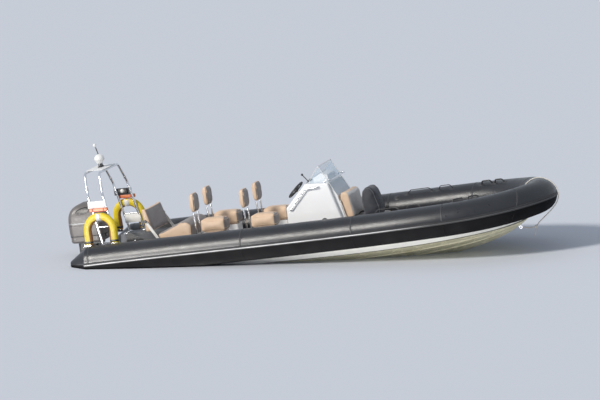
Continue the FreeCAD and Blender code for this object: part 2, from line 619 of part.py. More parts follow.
def plan_ring(x0, x1, half, radius, z):
    """A rectangle with round corners, as a wire at a height."""
    corners = [(x1 - radius, half - radius, 0), (x0 + radius, half - radius, 90),
               (x0 + radius, radius - half, 180), (x1 - radius, radius - half, 270)]
    arcs = []
    for x, y, turn in corners:
        on = [V(x + radius * math.cos(math.radians(turn + t)), y + radius * math.sin(math.radians(turn + t)), z)
              for t in (0, 45, 90)]
        arcs.append(Part.Arc(*on).toShape())
    edges = []
    for arc, after in zip(arcs, arcs[1:] + arcs[:1]):
        edges += [arc, Part.LineSegment(arc.Vertexes[-1].Point, after.Vertexes[0].Point).toShape()]
    return Part.Wire(edges)


def cowl_solid(inset):
    """The motor's top cover, through rings that round in towards its crown."""
    rings = []
    for z, aft, fore, half, radius in COWL_RINGS:
        rings.append(plan_ring(COWL_AFT + aft + inset, COWL_FORE - fore - inset, half - inset, radius - inset,
                               z - inset * (z - COWL_SPLIT) / (COWL_TOP - COWL_SPLIT)))
    return Part.makeLoft(rings, True, False)


def build_cowl():
    keep("cowl_top", cowl_solid(0).cut(cowl_solid(COWL_WALL)))
    pan = rounded_box(COWL_AFT + PAN_INSET, COWL_FORE - PAN_INSET, -COWL_HALF + PAN_INSET, COWL_HALF - PAN_INSET,
                      COWL_BOTTOM, COWL_SPLIT - GAP, COWL_CORNER - PAN_INSET, V(0, 0, 1))
    pan = softened(pan, PAN_ROUND, lambda e: e.BoundBox.ZMax < COWL_BOTTOM + GAP)
    hollow = PAN_INSET + COWL_WALL
    pan = pan.cut(box(COWL_AFT + hollow + 30, COWL_FORE - hollow - 30, -COWL_HALF + hollow + 15,
                      COWL_HALF - hollow - 15, COWL_BOTTOM + COWL_WALL, COWL_SPLIT))
    keep("cowl_pan", pan)
    keep("powerhead", box(COWL_AFT + POWERHEAD_INSET + 60, COWL_FORE - POWERHEAD_INSET, -COWL_HALF + POWERHEAD_INSET,
                          COWL_HALF - POWERHEAD_INSET, COWL_BOTTOM + COWL_WALL + GAP, POWERHEAD_TOP))


def arch_leg(x_top, side, z):
    """The middle of an arch leg at a height; above the knee it leans in more."""
    drop = ARCH_KNEE_Z - z
    half = ARCH_KNEE_HALF + (ARCH_SPLAY if drop > 0 else ARCH_TOP_SPLAY) * drop
    return V(x_top + ARCH_RAKE * (ARCH_TOP_Z - z), side * half, z)


def on_arch(shape):
    """Leans a shape, drawn upright with +X forward and -Y outboard, against the starboard legs."""
    lean = math.atan(ARCH_SPLAY)
    shape.rotate(V(0, 0, 0), V(1, 0, 0), -math.degrees(lean))
    foot = ARCH_KNEE_HALF + ARCH_SPLAY * ARCH_KNEE_Z + (ARCH_TUBE_R + GAP) / math.cos(lean)
    shape.translate(V(0, -foot, 0))
    return shape


def along_leg(z):
    """A height as a distance along the lean of the arch."""
    return z / math.cos(math.atan(ARCH_SPLAY))


def make_buoy():
    half, inner = BUOY_WIDTH / 2, BUOY_WIDTH / 2 - BUOY_BAND
    bend = BUOY_HEIGHT - half

    def arc(radius, sign):
        return Part.Arc(V(-radius * sign, 0, bend), V(0, 0, bend + radius), V(radius * sign, 0, bend)).toShape()

    def line(x0, z0, x1, z1):
        return Part.LineSegment(V(x0, 0, z0), V(x1, 0, z1)).toShape()

    edges = [line(-half, 0, -half, bend), arc(half, 1), line(half, bend, half, 0), line(half, 0, inner, 0),
             line(inner, 0, inner, bend), arc(inner, -1), line(-inner, bend, -inner, 0), line(-inner, 0, -half, 0)]
    return softened(Part.Face(Part.Wire(edges)).extrude(V(0, -BUOY_THICK, 0)), BUOY_ROUND)


def build_arch():
    below = half_space(V(ARCH_HOOPS[0][1], 0, QUARTER_TOP + GAP), V(0, 0, -1))
    for name, x_top in ARCH_HOOPS:
        half = [tuple(arch_leg(x_top, -1, z)) for z in (QUARTER_TOP - 60, ARCH_KNEE_Z, ARCH_TOP_Z)]
        points = half + [(x, -y, z) for x, y, z in reversed(half)]
        hoop = bent_tube(points, ARCH_TUBE_R, [ARCH_KNEE_BEND, ARCH_BEND, ARCH_BEND, ARCH_KNEE_BEND])
        discs = []
        for side in (-1, 1):
            foot = arch_leg(x_top, side, QUARTER_TOP)
            discs.append(Part.makeCylinder(ARCH_FOOT_R, ARCH_FOOT_H, foot + V(0, 0, GAP)))
        keep("arch_hoop_" + name, fused([hoop.cut(below)] + discs))
    hoops = [PARTS["arch_hoop_" + name] for name, _ in ARCH_HOOPS]

    bar = rod(arch_leg(ARCH_HOOPS[0][1], -1, ARCH_BAR_Z), arch_leg(ARCH_HOOPS[1][1], -1, ARCH_BAR_Z), ARCH_BAR_R)
    keep("arch_side_bars", both_sides(bar.cut(hoops[0]).cut(hoops[1])))

    plate_z = ARCH_TOP_Z + ARCH_TUBE_R + GAP
    plate_top = plate_z + ROOF_PLATE_THICK
    roof = rounded_box(ARCH_HOOPS[0][1] - ROOF_PLATE_OVER, ARCH_HOOPS[1][1] + ROOF_PLATE_OVER,
                       -ROOF_PLATE_HALF, ROOF_PLATE_HALF, plate_z, plate_top, 30, V(0, 0, 1))
    post_top = plate_top + DOME_POST_H
    post = Part.makeCylinder(DOME_POST_R, DOME_POST_H, V(DOME_X, 0, plate_top))
    foot = Part.makeCone(DOME_BASE_R, DOME_R, DOME_HEIGHT * 0.4, V(DOME_X, 0, post_top))
    waist = post_top + DOME_HEIGHT * 0.4
    crown = Part.makeSphere(DOME_R, V(DOME_X, 0, waist)).cut(half_space(V(DOME_X, 0, waist), V(0, 0, -1)))
    keep("aerial_dome", fused([post, foot, crown]))
    foot = V(LIGHT_FOOT_X, LIGHT_Y, plate_top)
    top = V(LIGHT_TOP_X, LIGHT_Y, LIGHT_TOP_Z)
    base = Part.makeCylinder(LIGHT_BASE_R, LIGHT_BASE_H, foot)
    pole = rod(foot + V(0, 0, LIGHT_BASE_H / 2), top, LIGHT_POLE_R)
    keep("all_round_light", fused([base, pole, Part.makeSphere(LIGHT_BALL_R, top)]))

    buoy = make_buoy()
    buoy.translate(V(BUOY_X, 0, along_leg(QUARTER_TOP) + GAP + 12))
    keep("horseshoe_buoys", both_sides(on_arch(buoy)))
    plate = box(SIDE_PLATE_AFT, SIDE_PLATE_FORE, -SIDE_PLATE_THICK, 0,
                along_leg(SIDE_PLATE_BOTTOM), along_leg(SIDE_PLATE_TOP))
    keep("arch_plates", Part.makeCompound([roof, both_sides(on_arch(plate))]))
    top = along_leg(SIDE_PLATE_BOTTOM) - GAP
    pack = rounded_box(BUOY_X - LIGHT_PACK_HALF, BUOY_X + LIGHT_PACK_HALF, -LIGHT_PACK_THICK, 0,
                       top - LIGHT_PACK_HEIGHT, top, 14)
    keep("buoy_lights", both_sides(on_arch(pack)))
    gusset = [(x, z + QUARTER_TOP + GAP) for x, z in QUARTER_PLATE_SIDE]
    gusset = prism_xz(gusset, QUARTER_PLATE_Y - QUARTER_PLATE_THICK, QUARTER_PLATE_Y)
    keep("quarter_plates", both_sides(gusset))


def build_bench():
    keep("bench_locker", box(BENCH_AFT, BENCH_FORE, -BENCH_HALF, BENCH_HALF, DECK_TOP, BENCH_BASE_TOP - GAP))
    cushion = prism_xz(BENCH_CUSHION_SIDE, -BENCH_HALF - BENCH_OVER, BENCH_HALF + BENCH_OVER)
    keep("bench_cushion", softened(cushion, BENCH_ROUND, lambda e: e.BoundBox.ZMax > BENCH_BASE_TOP + GAP))
    keep("bench_back", softened(prism_xz(BENCH_BACK_SIDE, -BENCH_HALF + GAP, BENCH_HALF - GAP), BENCH_ROUND))
    (x0, z0), (x1, z1) = ARM_TOP, ARM_FOOT
    along = V(x1 - x0, 0, z1 - z0)
    turn = FreeCAD.Rotation(V(1, 0, 0), along)
    bar = Part.makeBox(along.Length, ARM_THICK, ARM_WIDTH, V(0, 0, -ARM_WIDTH / 2))
    bar.Placement = FreeCAD.Placement(V(x0, 0, z0), turn).multiply(bar.Placement)
    bar.translate(V(0, BENCH_HALF + BENCH_OVER + GAP, 0))
    reach = BENCH_OVER + ARM_THICK + ARM_BOLT_HEAD
    bolts = [Part.makeCylinder(ARM_BOLT_R, reach, V(x, BENCH_HALF, z), V(0, 1, 0)) for x, z in (ARM_TOP, ARM_FOOT)]
    keep("bench_arms", both_sides(fused([bar] + bolts)))


def build_jockeys():
    pods, cushions, pads, posts = [], [], [], []
    for x in SEAT_ROWS:
        x0, x1 = x + SEAT_START, x + SEAT_START + SEAT_LENGTH
        y0, y1 = SEAT_Y - SEAT_WIDTH / 2, SEAT_Y + SEAT_WIDTH / 2
        seat_foot = SEAT_TOP - SEAT_CUSHION_H
        pods.append(rounded_box(x0 + POD_INSET_X, x1 - POD_INSET_X, y0 + POD_INSET_Y, y1 - POD_INSET_Y,
                                DECK_TOP, seat_foot - GAP, 30, V(0, 0, 1)))
        cushions.append(rounded_box(x0, x1, y0, y1, seat_foot, SEAT_TOP, SEAT_ROUND))
        pad = rounded_box(x - PAD_THICK / 2, x + PAD_THICK / 2, SEAT_Y - PAD_WIDTH / 2, SEAT_Y + PAD_WIDTH / 2,
                          PAD_BOTTOM, PAD_TOP, PAD_ROUND)
        pads.append(pad)
        for y in (SEAT_Y - POST_SPREAD, SEAT_Y + POST_SPREAD):
            foot = V(x + POST_LEAN, y, DECK_TOP)
            post = rod(foot + V(0, 0, POST_FOOT_H / 2), (x, y, PAD_BOTTOM - GAP + PAD_ROUND), POST_R).cut(pad)
            posts.append(fused([post, Part.makeCylinder(POST_FOOT_R, POST_FOOT_H, foot)]))
    keep("jockey_pods", both_sides(Part.makeCompound(pods)))
    keep("jockey_cushions", both_sides(Part.makeCompound(cushions)))
    keep("jockey_backs", both_sides(Part.makeCompound(pads)))
    keep("jockey_posts", both_sides(Part.makeCompound(posts)))


def build_console():
    outer = outline_face([V(x, 0, z) for x, z in CONSOLE_SIDE])
    inner = outer.makeOffset2D(-CONSOLE_WALL, 2)
    body = outer.extrude(V(0, 2 * CONSOLE_HALF, 0))
    hollow = inner.extrude(V(0, 2 * (CONSOLE_HALF - CONSOLE_WALL), 0))
    body.translate(V(0, -CONSOLE_HALF, 0))
    body = softened(body, CONSOLE_ROUND, lambda e: e.BoundBox.ZMax > DECK_TOP + GAP)
    hollow.translate(V(0, -CONSOLE_HALF + CONSOLE_WALL, 0))
    boss = on_dash(Part.makeCylinder(BOSS_R, BOSS_H + 4, V(WHEEL_ALONG, WHEEL_Y, -4)))
    bore = on_dash(Part.makeCylinder(WHEEL_SHAFT_R + PIN_GAP, BOSS_H * 2, V(WHEEL_ALONG, WHEEL_Y, BOSS_FLOOR - 3)))
    nose = prism_xz(NOSE_SIDE, -NOSE_HALF, NOSE_HALF)
    keep("console", fused([body, nose]).cut(hollow).fuse(boss).cut(bore).removeSplitter())


def on_dash(shape):
    """Sets a shape, drawn with the dash as its level plane, down on the sloping dash."""
    (x0, z0), (x1, z1) = CONSOLE_SIDE[1], CONSOLE_SIDE[2]
    shape.rotate(V(0, 0, 0), V(0, 1, 0), -math.degrees(math.atan2(z1 - z0, x1 - x0)))
    shape.translate(V(x0, 0, z0))
    return shape


def build_helm():
    centre = V(WHEEL_ALONG, WHEEL_Y, WHEEL_STANDOFF)
    rim = Part.makeTorus(WHEEL_R - WHEEL_RIM_R, WHEEL_RIM_R, centre)
    hub = Part.makeCylinder(WHEEL_HUB_R, 36, centre - V(0, 0, 34))
    shaft = rod(V(WHEEL_ALONG, WHEEL_Y, BOSS_FLOOR), centre - V(0, 0, 20), WHEEL_SHAFT_R)
    spokes = []
    for k in range(WHEEL_SPOKES):
        turn = math.radians(90 + 360 / WHEEL_SPOKES * k)
        end = V(math.cos(turn), math.sin(turn), 0) * (WHEEL_R - WHEEL_RIM_R)
        spokes.append(rod(centre - V(0, 0, 14), centre + end, WHEEL_SPOKE_R))
    keep("steering_wheel", on_dash(fused([rim, hub, shaft] + spokes)))

    x, y = THROTTLE_ALONG, THROTTLE_Y
    binnacle = rounded_box(x - THROTTLE_LENGTH / 2, x + THROTTLE_LENGTH / 2, y - THROTTLE_WIDTH / 2,
                           y + THROTTLE_WIDTH / 2, GAP, THROTTLE_H, 12, V(0, 0, 1))
    lever = rod((x, y, THROTTLE_H - 8), (x + 20, y, THROTTLE_H + LEVER_H), LEVER_R)
    knob = Part.makeSphere(KNOB_R, V(x + 20, y, THROTTLE_H + LEVER_H))
    keep("throttle", on_dash(fused([binnacle, lever, knob])))

    (x0, z0), (x1, z1) = CONSOLE_SIDE[2], CONSOLE_SIDE[3]
    pod = softened(prism_xz(POD_SIDE, POD_Y0, POD_Y1), POD_ROUND, lambda e: e.BoundBox.ZMax > GAP)
    pod.rotate(V(0, 0, 0), V(0, 1, 0), -math.degrees(math.atan2(z1 - z0, x1 - x0)))
    pod.translate(V(0, 0, z0 + (z1 - z0) * (0 - x0) / (x1 - x0) + GAP))
    keep("instrument_pod", pod)


def build_screen():
    (x0, z0), (x1, z1) = SCREEN_FOOT, SCREEN_TOP
    pane = prism_xz([(x0, z0), (x1, z1), (x1 + GLASS, z1), (x0 + GLASS, z0)], -SCREEN_HALF, SCREEN_HALF)
    console_top = CONSOLE_SIDE[3][1] + GAP
    (ax, az), (bx, bz) = CONSOLE_SIDE[2], CONSOLE_SIDE[3]
    wing_foot = az + (bz - az) * (WING_AFT_X - ax) / (bx - ax) + GAP
    front_foot_x = x0 + (x1 - x0) * (console_top - z0) / (z1 - z0)
    wing = prism_xz([(WING_AFT_X, wing_foot), (WING_AFT_X, WING_AFT_Z), (x1 + GLASS / 2, z1),
                     (front_foot_x + GLASS / 2, console_top)], SCREEN_HALF - GLASS, SCREEN_HALF)
    keep("windscreen", fused([pane, wing, mirrored(wing)]))

    def on_console(x):
        return az + (bz - az) * (x - ax) / (bx - ax)

    ring = [(RAIL_AFT, on_console(RAIL_AFT)), (RAIL_AFT, RAIL_Z), (RAIL_FORE, RAIL_Z)]
    route = [(x, -RAIL_Y, z) for x, z in ring] + [(x, RAIL_Y, z) for x, z in reversed(ring)]
    screen_rail = bent_tube(route, RAIL_R, RAIL_BEND).cut(PARTS["console"])
    out = CONSOLE_HALF + SIDE_RAIL_OFF
    (fx, fz), (lx, lz) = SIDE_RAIL[0], SIDE_RAIL[-1]
    route = [(fx, CONSOLE_HALF, fz)] + [(x, out, z) for x, z in SIDE_RAIL] + [(lx, CONSOLE_HALF, lz)]
    side_rail = bent_tube(route, RAIL_R, [RAIL_BEND, SIDE_RAIL_BEND, RAIL_BEND])
    keep("console_rails", Part.makeCompound([screen_rail, side_rail, mirrored(side_rail)]))


def build_front_seat():
    inset = FRONT_BASE_INSET
    keep("front_seat_locker", box(CONSOLE_SIDE[-1][0] + GAP, FRONT_SEAT_FORE - inset, -FRONT_HALF + inset,
                                  FRONT_HALF - inset, DECK_TOP, FRONT_BASE_TOP - GAP))
    aft = max(x for x, _ in NOSE_SIDE) + GAP
    cushion = rounded_box(aft, FRONT_SEAT_FORE, -FRONT_HALF, FRONT_HALF, FRONT_BASE_TOP, FRONT_CUSHION_TOP, 25)
    keep("front_seat_cushion", cushion.cut(PARTS["console"]))
    back = softened(prism_xz(FRONT_BACK_SIDE, -FRONT_HALF, FRONT_HALF), FRONT_BACK_ROUND)
    keep("front_seat_back", back.cut(PARTS["console"]))
    valise = prism_xz([(x, z + FRONT_CUSHION_TOP + GAP) for x, z in VALISE_SIDE], VALISE_Y0, VALISE_Y1)
    keep("raft_valise", softened(valise, VALISE_ROUND, lambda e: e.BoundBox.ZMax > FRONT_CUSHION_TOP + 2 * GAP))


def build_hatch():
    lid = rounded_box(HATCH_AFT, HATCH_FORE, -HATCH_HALF, HATCH_HALF, GAP, HATCH_THICK, 30, V(0, 0, 1))
    pin_x, pin_z = HATCH_FORE + HINGE_AHEAD, HINGE_UP
    knuckles, hinges = [], []
    for y in (-HINGE_Y, HINGE_Y):
        half = KNUCKLE_LENGTH / 2
        knuckle = rod((pin_x, y - half, pin_z), (pin_x, y + half, pin_z), KNUCKLE_R)
        leaf = box(HATCH_FORE - 40, pin_x, y - half, y + half, HATCH_THICK, pin_z + KNUCKLE_R - 2)
        knuckles.append(fused([knuckle, leaf]))
        ears = []
        for y0 in (y - half - 1 - HINGE_EAR, y + half + 1):
            ears.append(box(pin_x - 14, pin_x + 16, y0, y0 + HINGE_EAR, GAP, pin_z + KNUCKLE_R))
        reach = half + 1 + HINGE_EAR
        ears.append(rod((pin_x, y - reach, pin_z), (pin_x, y + reach, pin_z), HINGE_PIN_R))
        hinges.append(fused(ears))
    bore = rod((pin_x, -HATCH_HALF, pin_z), (pin_x, HATCH_HALF, pin_z), HINGE_PIN_R + PIN_GAP)
    keep("hatch_lid", foredeck(fused([lid] + knuckles).cut(bore)))
    keep("hatch_hinges", foredeck(Part.makeCompound(hinges)))
    print("hatch hinge at", foredeck(Part.Vertex(pin_x, 0, pin_z)).Point)


def build_cleat():
    post = Part.makeCylinder(CLEAT_POST_R, 110, V(CLEAT_X, 0, CLEAT_Z + 12 - 110))
    base = box(CLEAT_X - CLEAT_BASE, CLEAT_X + CLEAT_BASE, -30, 30, CLEAT_Z - 80, CLEAT_Z - 42)
    horn = rod((CLEAT_X, -CLEAT_HALF, CLEAT_Z + 16), (CLEAT_X, CLEAT_HALF, CLEAT_Z + 16), CLEAT_HORN_R)
    keep("bow_cleat", fused([post, base, horn]).cut(PARTS["hull"]).cut(PARTS["collar"]))


def build_handles():
    bars = [tube_handle(*row).cut(PARTS["collar"]) for row in COLLAR_HANDLES]
    keep("collar_handles", both_sides(Part.makeCompound(bars)))


def rope(name, route):
    """A round rope along the points, with every bend as wide as its two runs allow."""
    pts = [V(*p) for p in route]
    bends = []
    for i in range(1, len(pts) - 1):
        before, after = pts[i] - pts[i - 1], pts[i + 1] - pts[i]
        bends.append(0.45 * min(before.Length, after.Length) / math.tan(before.getAngle(after) / 2))
    tube = bent_tube(route, ROPE_R, bends)
    length = bent_path(route, bends).Length
    print(name, "length", round(length), "radii", [round(b) for b in bends],
          "runs", [round((b - a).Length) for a, b in zip(pts, pts[1:])],
          "volume ratio", round(tube.Volume / (length * math.pi * ROPE_R ** 2), 4))
    return tube


def build_painter():
    painter = rope("painter", PAINTER_ROUTE)
    keep("painter", painter)
    before, knot, after = [V(*p) for p in KNOT_POINTS]
    along = (after - before).normalize()
    sleeve = Part.makeCylinder(KNOT_R, KNOT_LENGTH, knot - along * (KNOT_LENGTH / 2), along)
    keep("painter_knot", sleeve.cut(painter))
    centre, out = stem_eye_centre()
    end = centre - out * STEM_EYE_SUNK + V(1, 0, 0) * (EYE_R + EYE_BAR_R)
    start = knot + V(-KNOT_R, 0, 0)
    drop = V(0, 0, -STROP_SAG)
    route = [tuple(start), tuple(start + (end - start) * 0.35 + drop), tuple(start + (end - start) * 0.7 + drop), tuple(end)]
    keep("painter_strop", rope("strop", route).cut(sleeve).cut(PARTS["towing_eyes"]))


def build():
    build_shell()
    build_eyes()
    build_bracket()
    build_leg()
    build_cowl()
    build_arch()
    build_bench()
    build_jockeys()
    build_console()
    build_helm()
    build_screen()
    build_front_seat()
    build_hatch()
    build_cleat()
    build_handles()
    build_painter()


if __name__ == "__main__":
    build()
    os.makedirs("parts", exist_ok=True)
    for name, shape in PARTS.items():
        shape.exportStep("parts/" + name + ".step")
        print(name, len(shape.Solids), shape.isValid(), round(shape.Volume / 1e9, 5), "m3")
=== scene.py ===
"""The looks of the inflatable boat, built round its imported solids. Metres; +X forward, +Y port, +Z up."""
import bmesh
import bpy
import math
from mathutils import Matrix, Vector
from mathutils.bvhtree import BVHTree


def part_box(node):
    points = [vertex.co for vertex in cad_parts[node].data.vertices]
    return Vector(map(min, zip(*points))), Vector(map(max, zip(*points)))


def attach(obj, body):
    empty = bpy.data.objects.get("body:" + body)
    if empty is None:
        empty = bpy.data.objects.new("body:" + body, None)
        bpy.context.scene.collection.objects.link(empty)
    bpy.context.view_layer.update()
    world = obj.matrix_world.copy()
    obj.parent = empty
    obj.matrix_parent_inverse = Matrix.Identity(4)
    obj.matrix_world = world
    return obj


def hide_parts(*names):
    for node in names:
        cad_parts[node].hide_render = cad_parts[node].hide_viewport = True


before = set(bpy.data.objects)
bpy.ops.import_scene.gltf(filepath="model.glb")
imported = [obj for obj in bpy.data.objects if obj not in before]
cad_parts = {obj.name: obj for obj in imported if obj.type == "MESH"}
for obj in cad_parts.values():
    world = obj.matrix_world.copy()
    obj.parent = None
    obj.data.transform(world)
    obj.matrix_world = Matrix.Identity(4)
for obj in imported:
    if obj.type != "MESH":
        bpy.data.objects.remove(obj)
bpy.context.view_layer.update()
scene = bpy.context.scene
scene.view_settings.view_transform = "Standard"

# Camera: a long lens from forward of the starboard beam, rolled as the boat rides bow up
PIXELS_WIDE, PIXELS_PER_METRE = 600, 59.0
CAMERA_AZIMUTH, CAMERA_ELEVATION, CAMERA_ROLL = 19.0, 8.0, 7.7
CAMERA_DISTANCE = 80.0
MIDSHIPS = Vector((0.0, 0.0, 0.6))
MIDSHIPS_RIGHT, MIDSHIPS_DOWN = 23.0 / PIXELS_PER_METRE, 13.3 / PIXELS_PER_METRE

# The floor: it meets the hull well forward and falls away aft, because the boat runs bow up
RUNNING_TRIM = math.radians(4.0)
FLOOR_X, FLOOR_Z = 2.26, -0.237


def make_camera():
    """A long lens, aimed so that midships falls where the photo has it."""
    a, e, r = (math.radians(v) for v in (CAMERA_AZIMUTH, CAMERA_ELEVATION, CAMERA_ROLL))
    right = Vector((math.cos(a), math.sin(a), 0))
    up = Vector((-math.sin(a) * math.sin(e), math.cos(a) * math.sin(e), math.cos(e)))
    back = right.cross(up)
    turned = right * math.cos(r) - up * math.sin(r)
    above = right * math.sin(r) + up * math.cos(r)
    target = MIDSHIPS - turned * MIDSHIPS_RIGHT + above * MIDSHIPS_DOWN
    data = bpy.data.cameras.new("camera")
    data.sensor_width = 36.0
    data.lens = data.sensor_width * CAMERA_DISTANCE / (PIXELS_WIDE / PIXELS_PER_METRE)
    data.clip_end = 500.0
    camera = bpy.data.objects.new("camera", data)
    scene.collection.objects.link(camera)
    turn = Matrix((turned, above, back)).transposed().to_4x4()
    camera.matrix_world = Matrix.Translation(target + back * CAMERA_DISTANCE) @ turn
    scene.camera = camera


make_camera()


# Materials

PATCH_SHARE, WEAR_RANGE, GLOSS_RANGE = (0.35, 0.75), (0.53, 0.62), (0.3, 0.7)
COAT_ROUGHNESS, GRAIN_STRENGTH = 0.12, 0.6


def node(tree, kind, **values):
    """A new shader node with its settings."""
    made = tree.nodes.new(kind)
    for key, value in values.items():
        setattr(made, key, value)
    return made


def link(tree, source, out, target, into):
    """Joins an output of one node to an input of another."""
    tree.links.new(source.outputs[out], target.inputs[into])


def spread(tree, coords, scale, detail=4.0, rough=0.55, stretch=None):
    """Noise, as a value, with its own stretch of the object's axes."""
    noise = node(tree, "ShaderNodeTexNoise")
    noise.inputs["Scale"].default_value = scale
    noise.inputs["Detail"].default_value = detail
    noise.inputs["Roughness"].default_value = rough
    if stretch:
        mapping = node(tree, "ShaderNodeMapping")
        mapping.inputs["Scale"].default_value = stretch
        link(tree, coords, "Object", mapping, "Vector")
        link(tree, mapping, "Vector", noise, "Vector")
    else:
        link(tree, coords, "Object", noise, "Vector")
    return noise


def levels(tree, source, out, low, high, to_low=0.0, to_high=1.0):
    """Maps a range of a value to another range, held at its ends."""
    made = node(tree, "ShaderNodeMapRange")
    made.inputs["From Min"].default_value = low
    made.inputs["From Max"].default_value = high
    made.inputs["To Min"].default_value = to_low
    made.inputs["To Max"].default_value = to_high
    link(tree, source, out, made, "Value")
    return made


def tint(tree, factor, out, before, colour):
    """Mixes a colour over what comes before, a colour or a node, by a factor."""
    mix = node(tree, "ShaderNodeMix", data_type="RGBA")
    link(tree, factor, out, mix, 0)
    if isinstance(before, tuple):
        mix.inputs[6].default_value = (*before, 1.0)
    else:
        tree.links.new(before, mix.inputs[6])
    if isinstance(colour, tuple):
        mix.inputs[7].default_value = (*colour, 1.0)
    else:
        tree.links.new(colour, mix.inputs[7])
    return mix.outputs[2]


def material(name, colour, other, patch, rough, grain, metal=0.0, coat=0.0, sheen=0.0, specular=0.5,
             worn=None, streak=None, more=None):
    """A procedural finish: patches of two colours, worn edges, uneven gloss and a grain.

    grain is kind, scale, depth in metres; streak stretches the patches; more adds to the colour.
    """
    mat = bpy.data.materials.new(name)
    mat.use_nodes = True
    tree = mat.node_tree
    shader = tree.nodes["Principled BSDF"]
    coords = node(tree, "ShaderNodeTexCoord")
    for key, value in (("Metallic", metal), ("Coat Weight", coat), ("Coat Roughness", COAT_ROUGHNESS),
                       ("Sheen Weight", sheen), ("Specular IOR Level", specular)):
        shader.inputs[key].default_value = value
    amount = levels(tree, spread(tree, coords, patch, stretch=streak), "Fac", *PATCH_SHARE)
    top = tint(tree, amount, "Result", colour, other)
    if more:
        top = more(tree, coords, top)
    if worn:
        edges = node(tree, "ShaderNodeNewGeometry")
        top = tint(tree, levels(tree, edges, "Pointiness", *WEAR_RANGE), "Result", top, worn)
    tree.links.new(top, shader.inputs["Base Color"])
    gloss = levels(tree, spread(tree, coords, patch * 4), "Fac", *GLOSS_RANGE, *rough)
    link(tree, gloss, "Result", shader, "Roughness")
    kind, scale, depth = grain
    bump = node(tree, "ShaderNodeBump")
    bump.inputs["Distance"].default_value = depth
    bump.inputs["Strength"].default_value = GRAIN_STRENGTH
    if kind == "noise":
        link(tree, spread(tree, coords, scale, 3.0), "Fac", bump, "Height")
    elif kind == "weave":
        weave_into(tree, coords, scale, bump)
    else:
        cells_into(tree, coords, scale, bump, kind)
    link(tree, bump, "Normal", shader, "Normal")
    return mat


def cells_into(tree, coords, scale, bump, kind):
    """The cells of a leather grain, or the even studs of a tread."""
    leather = kind == "leather"
    cells = node(tree, "ShaderNodeTexVoronoi", feature="DISTANCE_TO_EDGE" if leather else "F1")
    cells.inputs["Scale"].default_value = scale
    if not leather:
        cells.inputs["Randomness"].default_value = 0.15
    link(tree, coords, "Object", cells, "Vector")
    steps = (0.0, 0.12, 0.0, 1.0) if leather else (0.25, 0.45, 1.0, 0.0)
    link(tree, levels(tree, cells, "Distance", *steps), "Result", bump, "Height")


def weave_into(tree, coords, scale, bump):
    """The threads of a coated cloth, as two crossing waves."""
    waves = []
    for axis in ("X", "Z"):
        wave = node(tree, "ShaderNodeTexWave", bands_direction=axis)
        wave.inputs["Scale"].default_value = scale
        wave.inputs["Distortion"].default_value = 0.4
        link(tree, coords, "Object", wave, "Vector")
        waves.append(wave)
    both = node(tree, "ShaderNodeMath", operation="MULTIPLY")
    link(tree, waves[0], "Fac", both, 0)
    link(tree, waves[1], "Fac", both, 1)
    link(tree, both, "Value", bump, "Height")


def own_axes(tree, coords):
    """A place in the object's own axes, as three values."""
    split = node(tree, "ShaderNodeSeparateXYZ")
    link(tree, coords, "Object", split, "Vector")
    return split


def split_at(axis, low, high, colour):
    """Adds a second colour past a place along one of the object's axes."""
    def more(tree, coords, top):
        split = own_axes(tree, coords)
        return tint(tree, levels(tree, split, axis, low, high), "Result", top, colour)
    return more


HULL_WHITE, HULL_CREAM, HULL_SCUM = (0.94, 0.93, 0.88), (0.90, 0.84, 0.60), (0.58, 0.49, 0.22)
# painted shade: the dark line along the chine stands for the shadow under the spray rail
HULL_CHINE_SHADE = (0.16, 0.15, 0.11)
LIGHT_BALL_Z, DOME_FOOT_Z = 2.07, 1.80

#  columns: x, height of the chine
CHINE = [(-3.84, -0.030), (-2.6, -0.026), (-1.5, -0.019), (-0.4, -0.008), (0.6, 0.010), (1.3, 0.032),
         (1.9, 0.058), (2.6, 0.098), (3.2, 0.152), (3.61, 0.268)]
CHINE_LOW, CHINE_SPAN = -0.1, 0.5


def above_chine(tree, coords):
    """How far a point of the hull is above its chine."""
    split = own_axes(tree, coords)
    aft, fore = CHINE[0][0], CHINE[-1][0]
    curve = node(tree, "ShaderNodeFloatCurve")
    points = curve.mapping.curves[0].points
    for k, (x, z) in enumerate(CHINE):
        place = ((x - aft) / (fore - aft), (z - CHINE_LOW) / CHINE_SPAN)
        if k in (0, len(CHINE) - 1):
            points[0 if k == 0 else -1].location = place
        else:
            points.new(*place)
    curve.mapping.update()
    link(tree, levels(tree, split, "X", aft, fore), "Result", curve, "Value")
    height = node(tree, "ShaderNodeMath", operation="MULTIPLY_ADD")
    link(tree, curve, "Value", height, 0)
    height.inputs[1].default_value = -CHINE_SPAN
    height.inputs[2].default_value = -CHINE_LOW
    rise = node(tree, "ShaderNodeMath", operation="ADD")
    link(tree, height, "Value", rise, 0)
    link(tree, split, "Z", rise, 1)
    return rise


def hull_stains_and_chine_shade(tree, coords, top):
    """White sides, a dark line at the chine that is painted shade under the spray rail, and a cream bottom
    with brown streaks along the boat.
    """
    rise = above_chine(tree, coords)
    below = levels(tree, rise, "Value", 0.002, -0.006)
    top = tint(tree, below, "Result", top, HULL_CREAM)
    streaks = spread(tree, coords, 2.0, 6.0, 0.65, stretch=(0.7, 5.0, 7.0))
    stain = levels(tree, streaks, "Fac", 0.54, 0.78)
    both = node(tree, "ShaderNodeMath", operation="MULTIPLY")
    link(tree, stain, "Result", both, 0)
    link(tree, below, "Result", both, 1)
    top = tint(tree, both, "Value", top, HULL_SCUM)
    # painted shade: a narrow dark band just below the chine, the spray rail's shadow
    shade_top = levels(tree, rise, "Value", 0.006, -0.002)
    shade_foot = levels(tree, rise, "Value", -0.026, -0.014)
    line = node(tree, "ShaderNodeMath", operation="MULTIPLY")
    link(tree, shade_top, "Result", line, 0)
    link(tree, shade_foot, "Result", line, 1)
    return tint(tree, line, "Value", top, HULL_CHINE_SHADE)


